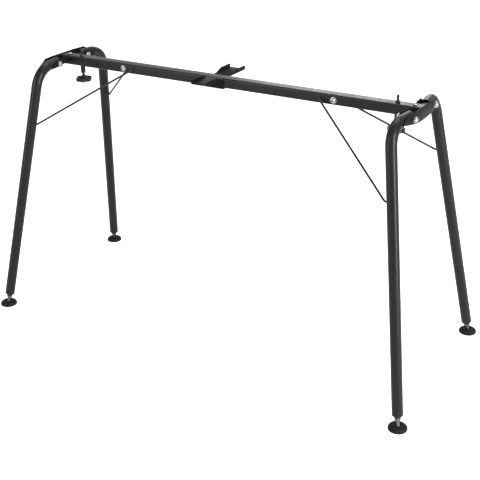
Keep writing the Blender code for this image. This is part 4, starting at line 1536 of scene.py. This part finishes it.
@dataclass
class ClampKnob:
    """A star knob on a screw through the beam, with the collar that rides up with it and the beam's nut."""

    side: Side
    diameter: float = 0.042
    lobes: int = 6
    lobe_steps: int = 20
    lobe_depth: float = 0.003
    lobe_fade: int = 5
    thickness: float = 0.010
    drop: float = 0.032
    hub: float = 0.0095
    neck: float = 0.0045
    neck_rise: float = 0.006
    slope: float = 0.001
    dish: float = 0.0018
    dish_edge: float = 0.005
    crown_edge: float = 0.0032
    sole_dish: float = 0.0008
    sole_edge: float = 0.006
    sole_dish_edge: float = 0.008
    rounding: float = 0.0018
    socket: float = 0.008
    rise: float = 0.017
    pitch: float = 0.001
    collar_length: float = 0.0218
    collar_in_beam: float = 0.001
    collar_rounding: float = 0.0006
    nut_flats: float = 0.010
    nut_height: float = 0.0035

    def ring(self, radius: float, height: float) -> list[Vector]:
        """A lobed ring, whose lobes fade toward the middle.

        Args:
            radius: The radius at the lobes.
            height: The ring's height.

        Returns:
            The ring's points.
        """
        depth = self.lobe_depth * (radius / (self.diameter / 2)) ** self.lobe_fade
        steps = self.lobes * self.lobe_steps
        points = []
        for step in range(steps):
            turn = 2 * math.pi * step / steps
            size = radius - depth * (1 - math.cos(self.lobes * turn))
            points.append(Vector((size * math.cos(turn), size * math.sin(turn), height)))
        return points

    def profile(self) -> list[Point2]:
        """The grip's profile, from its screw's socket over the neck, the dished top and the rim to its sole.

        Returns:
            The profile as radii and heights about the grip's middle.
        """
        rim = self.diameter / 2
        top = self.thickness / 2
        bore = LAYOUT.running(LAYOUT.clamp_screw) / 2
        crest = top + self.neck_rise
        sole = self.sole_dish - top
        corners = [(bore, top - self.socket), (bore, crest), (self.neck, crest),
                   (self.neck + self.slope, top + self.slope), (self.hub, top),
                   (self.hub + self.slope, top - self.dish), (rim - self.dish_edge, top - self.dish),
                   (rim - self.crown_edge, top), (rim, top), (rim, -top), (rim - self.sole_edge, -top),
                   (rim - self.sole_dish_edge, sole), (CORE, sole)]
        return fillet(corners, self.rounding, steps=5)

    def place(self, height: float) -> Vector:
        """A point on the knob's axis."""
        return spot(self.side, LAYOUT.knob_x, 0.0, height)

    def build_knob(self, body: str) -> None:
        """Builds the lobed grip, its origin at the middle of its thickness.

        Args:
            body: The body that turns.
        """
        node = label("knob", self.side)
        knob = loft(node, [self.ring(radius, height) for radius, height in self.profile()])
        centre = self.place(LAYOUT.beam_bottom() - self.drop - self.thickness / 2)
        dress(aim(knob, centre, Z_AXIS), node, Slot.KNOB, body)

    def build_screw(self, body: str) -> None:
        """Builds the screw, from its place in the grip up to its tip over the beam.

        Args:
            body: The body that turns.
        """
        node = label("knob_screw", self.side)
        base = LAYOUT.beam_bottom() - self.drop - self.socket + LAYOUT.gap
        length = LAYOUT.beam_top + self.rise - base
        thread = ScrewThread(LAYOUT.clamp_screw, self.pitch)
        screw = thread.build(node, -length, 0.0, -self.socket)
        dress(aim(screw, self.place(base), -Z_AXIS), node, Slot.BLACK, body)

    def build(self) -> None:
        """Builds the knob, its screw, the collar and the nut."""
        turning = label("knob_and_screw", self.side)
        self.build_knob(turning)
        self.build_screw(turning)
        hole = LAYOUT.running(LAYOUT.clamp_screw)
        node = label("knob_collar", self.side)
        collar = sleeve(node, LAYOUT.collar, hole, self.collar_length, self.collar_rounding, steps=4)
        low = LAYOUT.beam_bottom() + self.collar_in_beam - self.collar_length
        dress(aim(collar, self.place(low), Z_AXIS), node, Slot.KNOB, label("knob_travel", self.side))
        node = label("knob_nut", self.side)
        nut = Hexagon(self.nut_flats, self.nut_height).build_nut(node, hole)
        dress(aim(nut, self.place(LAYOUT.beam_top + LAYOUT.gap), Z_AXIS), node, Slot.BLACK)


@dataclass
class LevellingFoot:
    """A foot: the insert in the tube's end, the stud with its hexagon and ball, and the swivelling disc."""

    side: Side
    end: End
    insert_z: float = 0.027
    insert_bottom: float = 0.0155
    insert_rounding: float = 0.0012
    taper_share: float = 0.8
    plug_length: float = 0.022
    plug_clearance: float = 0.0006
    ribs: int = 4
    first_rib: float = 0.003
    rib_spacing: float = 0.0045
    rib_half: float = 0.0012
    rib_depth: float = 0.0007
    stud: float = 0.008
    stud_length: float = 0.054
    stud_flats: float = 0.013
    hex_length: float = 0.0065
    pitch: float = 0.00125
    ball: float = 0.010
    ball_z: float = 0.0065
    ball_share: float = 0.97
    ball_steps: int = 10
    disc: float = 0.043
    disc_height: float = 0.011
    disc_floor: float = 0.0012
    dome_steps: int = 12
    rim_height: float = 0.003
    shoulder: float = 0.019
    shoulder_edge: float = 0.0005
    mouth_drop: float = 0.0004
    flare: float = 0.001
    # The sole touches the floor with an outer ring and a middle, and a shallow groove parts them.
    sole_edge: float = 0.0006
    sole_ring: float = 0.004
    sole_groove: float = 0.008
    groove_depth: float = 0.0005

    def along(self, rise: float) -> float:
        """The length along a leg for a rise in height."""
        return rise / LAYOUT.up(self.side, self.end).z

    def place(self, piece: bpy.types.Object, height: float) -> bpy.types.Object:
        """Stands a piece on its leg's centre line at a height."""
        return aim(piece, LAYOUT.leg(self.side, self.end, height), LAYOUT.up(self.side, self.end))

    def build_insert(self) -> None:
        """Builds the tapered insert with its ribbed plug."""
        cone = self.along(LAYOUT.tube_end_z - self.insert_z) - LAYOUT.gap
        tube = LAYOUT.tube_radius
        plug = tube - LAYOUT.tube_wall - self.plug_clearance
        core = plug - self.rib_depth
        bore = LAYOUT.running(self.stud) / 2
        end = cone + self.plug_length
        ribs: list[Point2] = []
        for index in range(self.ribs):
            low = cone + self.first_rib + index * self.rib_spacing
            ribs += [(core, low), (plug, low + self.rib_half), (core, low + 2 * self.rib_half)]
        taper = fillet([(bore, 0.0), (self.insert_bottom / 2, 0.0), (tube, cone * self.taper_share),
                        (tube, cone)], self.insert_rounding, steps=5)
        node = label("leg_insert", self.side, self.end)
        profile = [*taper, (core, cone), *ribs, (core, end), (bore, end)]
        insert = lathe(node, profile, steps=56, closed=True)
        dress(self.place(insert, self.insert_z), node, Slot.INSERT)

    def build_stud(self) -> None:
        """Builds the threaded stud with its wrench hexagon and ball."""
        node = label("foot_stud", self.side, self.end)
        radius = self.ball / 2
        neck = self.stud / 2
        hex_top = self.along(self.insert_z - self.ball_z) - LAYOUT.gap
        first = math.acos(neck / radius)
        last = -math.pi / 2 * self.ball_share
        arc = [first + (last - first) * step / self.ball_steps for step in range(self.ball_steps + 1)]
        profile = [(neck, hex_top - OVERLAP)]
        profile += [(radius * math.cos(turn), radius * math.sin(turn)) for turn in arc]
        stud = lathe(node, profile, steps=40)
        body = Hexagon(self.stud_flats, self.hex_length).build("hexagon")
        body.location.z = hex_top - self.hex_length
        thread = ScrewThread(self.stud, self.pitch)
        shank = thread.build("shank", -self.stud_length, OVERLAP - hex_top, -hex_top - RUNOUT)
        shank.matrix_world = Matrix.Rotation(math.pi, 4, "X")
        combine(stud, Joining.JOIN, body, shank)
        dress(self.place(stud, self.ball_z), node, Slot.DULL, label("stud", self.side, self.end))

    def disc_profile(self) -> list[Point2]:
        """The disc's profile: from the cup's floor over its mouth, the dome and the rim to the sole.

        Returns:
            The profile as radii and heights.
        """
        rim = self.disc / 2
        shoulder = self.shoulder / 2
        socket = LAYOUT.running(self.ball) / 2
        mouth = socket + self.flare
        profile = [(CORE, self.disc_floor), (socket, self.disc_floor), (socket, self.ball_z),
                   (mouth, self.disc_height - self.mouth_drop),
                   (mouth + self.shoulder_edge, self.disc_height),
                   (shoulder - self.shoulder_edge, self.disc_height)]
        for step in range(1, self.dome_steps + 1):
            turn = math.pi / 2 * step / self.dome_steps
            profile.append((shoulder + (rim - shoulder) * math.sin(turn),
                            self.rim_height + (self.disc_height - self.rim_height) * math.cos(turn)))
        ring, groove = rim - self.sole_ring, rim - self.sole_groove
        return profile + [(rim, self.sole_edge), (rim - self.sole_edge, 0.0), (ring, 0.0),
                          (ring - self.groove_depth, self.groove_depth), (groove, self.groove_depth),
                          (groove - self.groove_depth, 0.0), (CORE, 0.0)]

    def build_disc(self) -> None:
        """Builds the domed disc with its socket and its ringed sole."""
        node = label("foot_disc", self.side, self.end)
        disc = lathe(node, self.disc_profile(), steps=72)
        foot = LAYOUT.leg(self.side, self.end, self.ball_z)
        disc.location = (foot.x, foot.y, 0.0)
        dress(disc, node, Slot.FOOT, label("foot", self.side, self.end))

    def build(self) -> None:
        """Builds the foot's three pieces."""
        self.build_insert()
        self.build_stud()
        self.build_disc()


# The studio.


@dataclass(frozen=True)
class Softbox:
    """A rectangular lamp, its size in metres and its power in watts."""

    name: str
    place: tuple[float, float, float]
    size: Point2
    power: float

    def build(self, target: Vector) -> None:
        """Adds the lamp.

        Args:
            target: The point that it faces.
        """
        lamp = bpy.data.lights.new(self.name, "AREA")
        lamp.shape = "RECTANGLE"
        lamp.size, lamp.size_y = self.size
        lamp.energy = self.power
        box = bpy.data.objects.new(self.name, lamp)
        box.location = self.place
        box.rotation_mode = "QUATERNION"
        box.rotation_quaternion = (target - Vector(self.place)).to_track_quat("-Z", "Y")
        bpy.context.scene.collection.objects.link(box)


@dataclass
class Studio:
    """A plain white floor, a white surround, soft lamps and the photograph's camera."""

    floor_half: float = 40.0
    floor_colour: str = "#e6e6e6"
    floor_glow: float = 0.66
    surround_colour: str = "#ffffff"
    ambient: float = 0.42
    lamp_target: tuple[float, float, float] = (0.0, 0.0, 0.4)
    lens: float = 69.894
    sensor: float = 36.0
    camera_place: tuple[float, float, float] = (1.13276, -1.81626, 1.23751)
    yaw: float = 31.19
    pitch: float = 25.32
    roll: float = 0.91
    softboxes: tuple[Softbox, ...] = (
        Softbox("softbox_left", (-1.9, -3.2, 1.5), (0.6, 2.6), 100.0),
        Softbox("softbox_right", (3.4, -0.9, 1.5), (0.5, 2.6), 290.0),
        Softbox("softbox_top", (0.0, 0.9, 3.0), (2.6, 1.0), 50.0),
        Softbox("softbox_back", (-1.3, 4.2, 2.2), (2.0, 1.0), 28.0),
    )

    def sees_background(self, tree: bpy.types.NodeTree) -> bpy.types.NodeSocket:
        """Adds the test for rays that should meet the white background.

        Args:
            tree: The node tree.

        Returns:
            1 for camera, glossy and transmission rays, and otherwise 0.
        """
        rays = add_node(tree, "ShaderNodeLightPath").outputs
        either = add_node(tree, "ShaderNodeMath", None, {0: rays["Is Camera Ray"], 1: rays["Is Glossy Ray"]},
                          operation="MAXIMUM").outputs[0]
        return add_node(tree, "ShaderNodeMath", None, {0: either, 1: rays["Is Transmission Ray"]},
                        operation="MAXIMUM").outputs[0]

    def build_paper(self) -> bpy.types.Material:
        """Builds the floor's matt paper, which glows to white for the camera and still takes a shadow.

        Returns:
            The material.
        """
        material = bpy.data.materials.new("studio_paper")
        material.use_nodes = True
        tree = material.node_tree
        tree.nodes.clear()
        paper = add_node(tree, "ShaderNodeBsdfDiffuse", {"Color": linear(self.floor_colour)}).outputs[0]
        glow = add_node(tree, "ShaderNodeMath", {1: self.floor_glow}, {0: self.sees_background(tree)},
                        operation="MULTIPLY").outputs[0]
        light = add_node(tree, "ShaderNodeEmission", None, {"Strength": glow}).outputs[0]
        both = add_node(tree, "ShaderNodeAddShader", None, {0: paper, 1: light}).outputs[0]
        add_node(tree, "ShaderNodeOutputMaterial", None, {"Surface": both})
        return material

    def build_floor(self) -> None:
        """Builds the floor."""
        half = self.floor_half
        shape = bmesh.new()
        shape.faces.new([shape.verts.new((across * half, along * half, 0.0))
                         for across, along in ((-1, -1), (1, -1), (1, 1), (-1, 1))])
        floor = add_piece("studio_floor", make_mesh("studio_floor", shape))
        floor.data.materials.append(self.build_paper())

    def build_world(self) -> None:
        """Builds the surround: white to the camera and to gloss, plain soft light to everything else."""
        world = bpy.data.worlds.new("studio")
        world.use_nodes = True
        tree = world.node_tree
        tree.nodes.clear()
        white = linear(self.surround_colour)
        light = add_node(tree, "ShaderNodeBackground", {"Color": white, "Strength": self.ambient}).outputs[0]
        seen = add_node(tree, "ShaderNodeBackground", {"Color": white, "Strength": 1.0}).outputs[0]
        mixed = add_node(tree, "ShaderNodeMixShader", None,
                         {0: self.sees_background(tree), 1: light, 2: seen}).outputs[0]
        add_node(tree, "ShaderNodeOutputWorld", None, {"Surface": mixed})
        bpy.context.scene.world = world

    def build_camera(self) -> None:
        """Builds the camera at the photograph's place and angle."""
        yaw, pitch, roll = (math.radians(angle) for angle in (self.yaw, self.pitch, self.roll))
        level = Vector((math.cos(yaw), math.sin(yaw), 0.0))
        forward = Vector((-math.sin(yaw) * math.cos(pitch), math.cos(yaw) * math.cos(pitch),
                          -math.sin(pitch)))
        under = forward.cross(level)
        right = level * math.cos(roll) + under * math.sin(roll)
        down = under * math.cos(roll) - level * math.sin(roll)
        lens = bpy.data.cameras.new("photo_camera")
        lens.lens = self.lens
        lens.sensor_width = self.sensor
        lens.sensor_fit = "HORIZONTAL"
        camera = bpy.data.objects.new("photo_camera", lens)
        turn = Matrix((right, -down, -forward)).transposed().to_4x4()
        camera.matrix_world = Matrix.Translation(self.camera_place) @ turn
        bpy.context.scene.collection.objects.link(camera)
        bpy.context.scene.camera = camera

    def build(self) -> None:
        """Builds the studio."""
        self.build_floor()
        self.build_world()
        for softbox in self.softboxes:
            softbox.build(Vector(self.lamp_target))
        self.build_camera()
        bpy.context.scene.view_settings.view_transform = "Standard"


def main() -> None:
    """Builds the stand's pieces and the studio in order."""
    logging.basicConfig(level=logging.INFO, format="%(message)s")
    Studio().build()
    Beam().build()
    CentreBracket().build()
    for side in Side:
        CrownPlates(side).build()
        EndScrew(side).build()
        StayBolt(side).build()
        ClampKnob(side).build()
        for end in End:
            Leg(side, end).build()
            FrameBolt(side, end).build()
            Stay(side, end).build()
            LevellingFoot(side, end).build()


if __name__ == "__main__":
    main()
